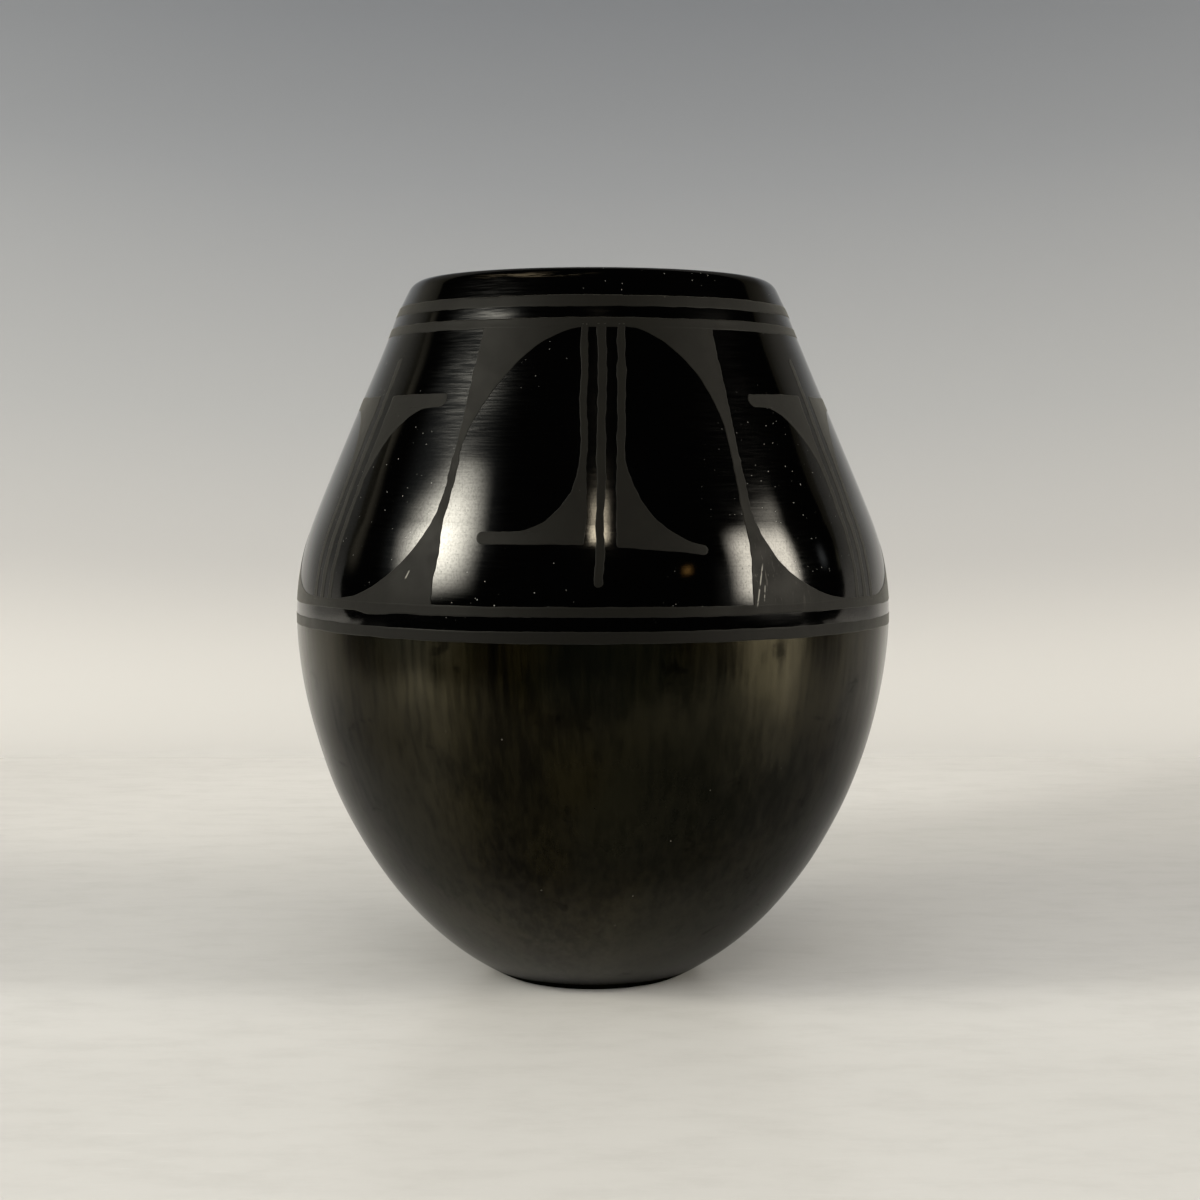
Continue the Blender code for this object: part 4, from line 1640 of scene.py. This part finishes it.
@dataclass
class Window:
    """A lit opening in a dark room, seen from the vase as a leaning patch.

    Azimuths are counted from the camera's side, -Y, towards +X; all angles are in degrees. The
    fades are shares of the opening over which its light fades, at the left, right, lower and upper
    edge as the vase sees them, and the taper narrows the bright part towards the top.
    """

    name: str
    azimuth: float
    elevation: float
    half_width: float
    half_height: float
    roll: float
    radiance: float
    colour: tuple[float, float, float]
    distance: float = 2.5
    eye_height: float = 0.12
    fades: tuple[float, float, float, float] = (0.2, 0.2, 0.2, 0.2)
    taper: float = 0.0
    in_gloss: bool = True
    least_fade: float = 0.001

    def build(self) -> None:
        """Add an area lamp of the patch's size whose brightness doesn't depend on that size."""
        azimuth, elevation, roll = map(math.radians, (self.azimuth, self.elevation, self.roll))
        outward = Vector((math.sin(azimuth) * math.cos(elevation),
                          -math.cos(azimuth) * math.cos(elevation), math.sin(elevation)))
        sideways = Vector((math.cos(azimuth), math.sin(azimuth), 0))
        up = outward.cross(sideways)
        across = sideways * math.cos(roll) + up * math.sin(roll)
        along = up * math.cos(roll) - sideways * math.sin(roll)
        turn = Matrix((across, along, across.cross(along))).transposed()
        eye = Vector((0, 0, self.eye_height))

        lamp = bpy.data.lights.new(self.name, "AREA")
        lamp.shape = "RECTANGLE"
        lamp.size = 2 * self.distance * math.tan(math.radians(self.half_width))
        lamp.size_y = 2 * self.distance * math.tan(math.radians(self.half_height))
        lamp.energy = self.radiance * math.pi * lamp.size * lamp.size_y
        lamp.color = self.colour
        self._soften(lamp)
        placed = bpy.data.objects.new(self.name, lamp)
        placed.matrix_world = Matrix.Translation(eye + outward * self.distance) @ turn.to_4x4()
        placed.visible_camera = False
        placed.visible_glossy = self.in_gloss
        bpy.context.scene.collection.objects.link(placed)
        log.info("%s: %.2f by %.2f m", self.name, lamp.size, lamp.size_y)

    def _soften(self, lamp: bpy.types.Light) -> None:
        """Let the brightness fade smoothly towards each edge, as a product of four ramps."""
        lamp.use_nodes = True
        net = Net(lamp.node_tree)
        across, along, _ = net.parts(net.nodes.new("ShaderNodeNewGeometry").outputs["Parametric"])
        narrowed = net.add(1, net.product(net.less(along, 0.5), self.taper))
        across = net.add(net.product(net.less(across, 0.5), narrowed), 0.5)
        left, right, low, high = (max(share, self.least_fade) for share in self.fades)
        glow = net.product(net.spread(across, 0, left), net.spread(across, 1, 1 - right),
                           net.spread(along, 0, low), net.spread(along, 1, 1 - high))
        net.links.new(glow, net.nodes["Emission"].inputs["Strength"])


@dataclass
class Room:
    """Dark room round the table; only the camera sees it as pale."""

    seen: Colour = (0.55, 0.54, 0.52, 1)
    dark: Colour = (0.0012, 0.0012, 0.0012, 1)

    def build(self) -> None:
        """Set the world: one colour for the camera's own rays and a dark one for all others."""
        world = bpy.data.worlds.new("room")
        world.use_nodes = True
        net = Net(world.node_tree)
        path = net.nodes.new("ShaderNodeLightPath")
        colour = net.blend(path.outputs["Is Camera Ray"], self.dark, self.seen)
        net.links.new(colour, net.nodes["Background"].inputs["Color"])
        bpy.context.scene.world = world
        log.info("room: dark round a pale table")


@dataclass
class PortraitCamera:
    """Camera where the photograph was taken from, worked out from the rim's and foot's curves."""

    distance: float = 0.53722
    height: float = 0.1319
    pitch: float = math.radians(3.784)
    yaw: float = math.radians(0.193)
    lens: float = 62.29
    sensor: float = 36.0

    def build(self) -> None:
        """Add the camera, level from side to side."""
        data = bpy.data.cameras.new("portrait camera")
        data.lens, data.sensor_width = self.lens, self.sensor
        camera = bpy.data.objects.new("portrait camera", data)
        camera.location = (0, -self.distance, self.height)
        camera.rotation_euler = (math.pi / 2 - self.pitch, 0, -self.yaw)
        bpy.context.scene.collection.objects.link(camera)
        bpy.context.scene.camera = camera
        log.info("portrait camera: %.0f mm lens at %.2f m", self.lens, self.distance)


SOFT = (0.5, 0.5, 0.5, 0.5)
SOFTER_SIDES = (0.5, 0.5, 0.3, 0.3)
EVEN = (0, 0, 0, 0)

WINDOWS = (
    Window("left window", -65.8, 21.5, 20.1, 17.4, 16.7, 28.5, (1.0, 0.955, 0.82),
           fades=(0.88, 0.59, 0.61, 0.25)),
    Window("left curtain", -68, 26, 26, 20, 14, 0.40, (0.95, 1.0, 0.97), 2.7,
           fades=(0.5, 0.5, 0.4, 0.4)),
    Window("right window", 70.2, 17.1, 17.1, 17.2, -6.8, 8.6, (1.0, 0.93, 0.79),
           fades=(0.33, 0.21, 0.30, 0.32), taper=0.1),
    Window("right curtain", 68, 10.0, 23, 14, -6, 0.35, (1.0, 0.98, 0.88), 2.6,
           fades=(0.5, 0.5, 0.4, 0.4)),
    Window("middle lamp", 3.4, 37.5, 4.2, 4.9, 0, 9.6, (1.0, 0.87, 0.64),
           fades=(0.3, 0.35, 0.3, 0.4)),
    Window("amber lamp", 36, 20, 3.0, 2.8, 0, 0.95, (1.0, 0.52, 0.14), fades=SOFT),
    Window("left door post", -109.5, 19.5, 5.5, 13.0, 18, 0.17, (1.0, 0.90, 0.66), 2.4,
           fades=SOFTER_SIDES),
    Window("right door post", 113.2, 18.5, 1.5, 12.0, -18, 0.28, (1.0, 0.94, 0.62), 2.4,
           fades=SOFTER_SIDES),
    Window("grey wall", 99.5, 14.5, 3.2, 5, 0, 0.25, (0.95, 1.0, 1.0), 1.5, fades=SOFT),
    Window("ceiling fill", 0, 84, 32, 32, 0, 1.0, (1.0, 0.99, 0.97), 2.0, fades=EVEN,
           in_gloss=False),
    Window("front fill", -8, 26, 34, 18, 0, 3.1, (1.0, 0.99, 0.97), 2.0, fades=EVEN,
           in_gloss=False),
)


def main() -> None:
    """Build the vase and its studio in order, then note the sizes."""
    logging.basicConfig(level=logging.INFO, format="%(message)s")
    scene = bpy.context.scene
    scene.view_settings.view_transform = "Standard"

    section = ClaySection()
    surface = ClaySurface(section, Unevenness())
    mirror, satin, bare = MirrorBurnish().make(), SatinBurnish().make(), BareClay().make()
    polish_end = section.rim_joint - INNER_POLISH
    ClayPiece(surface, "burnished_bowl", ("base", "lower_wall", "belly_wall"), "burnished_lower",
              None, section.waist_joint).build(satin, bare, polish_end)
    ClayPiece(surface, "burnished_shoulder", ("shoulder_wall", "neck_wall"), "burnished_upper",
              section.waist_joint, section.rim_joint).build(mirror, bare, polish_end)
    ClayPiece(surface, "burnished_rim", ("rim",), "burnished_upper",
              section.rim_joint, None, outside_step=0.0005, inside_step=0.0007
              ).build(mirror, bare, polish_end)
    Ornament(Slip(surface, MattSlip().make())).build()

    Sweep().build()
    Room().build()
    for window in WINDOWS:
        window.build()
    PortraitCamera().build()


if __name__ == "__main__":
    main()
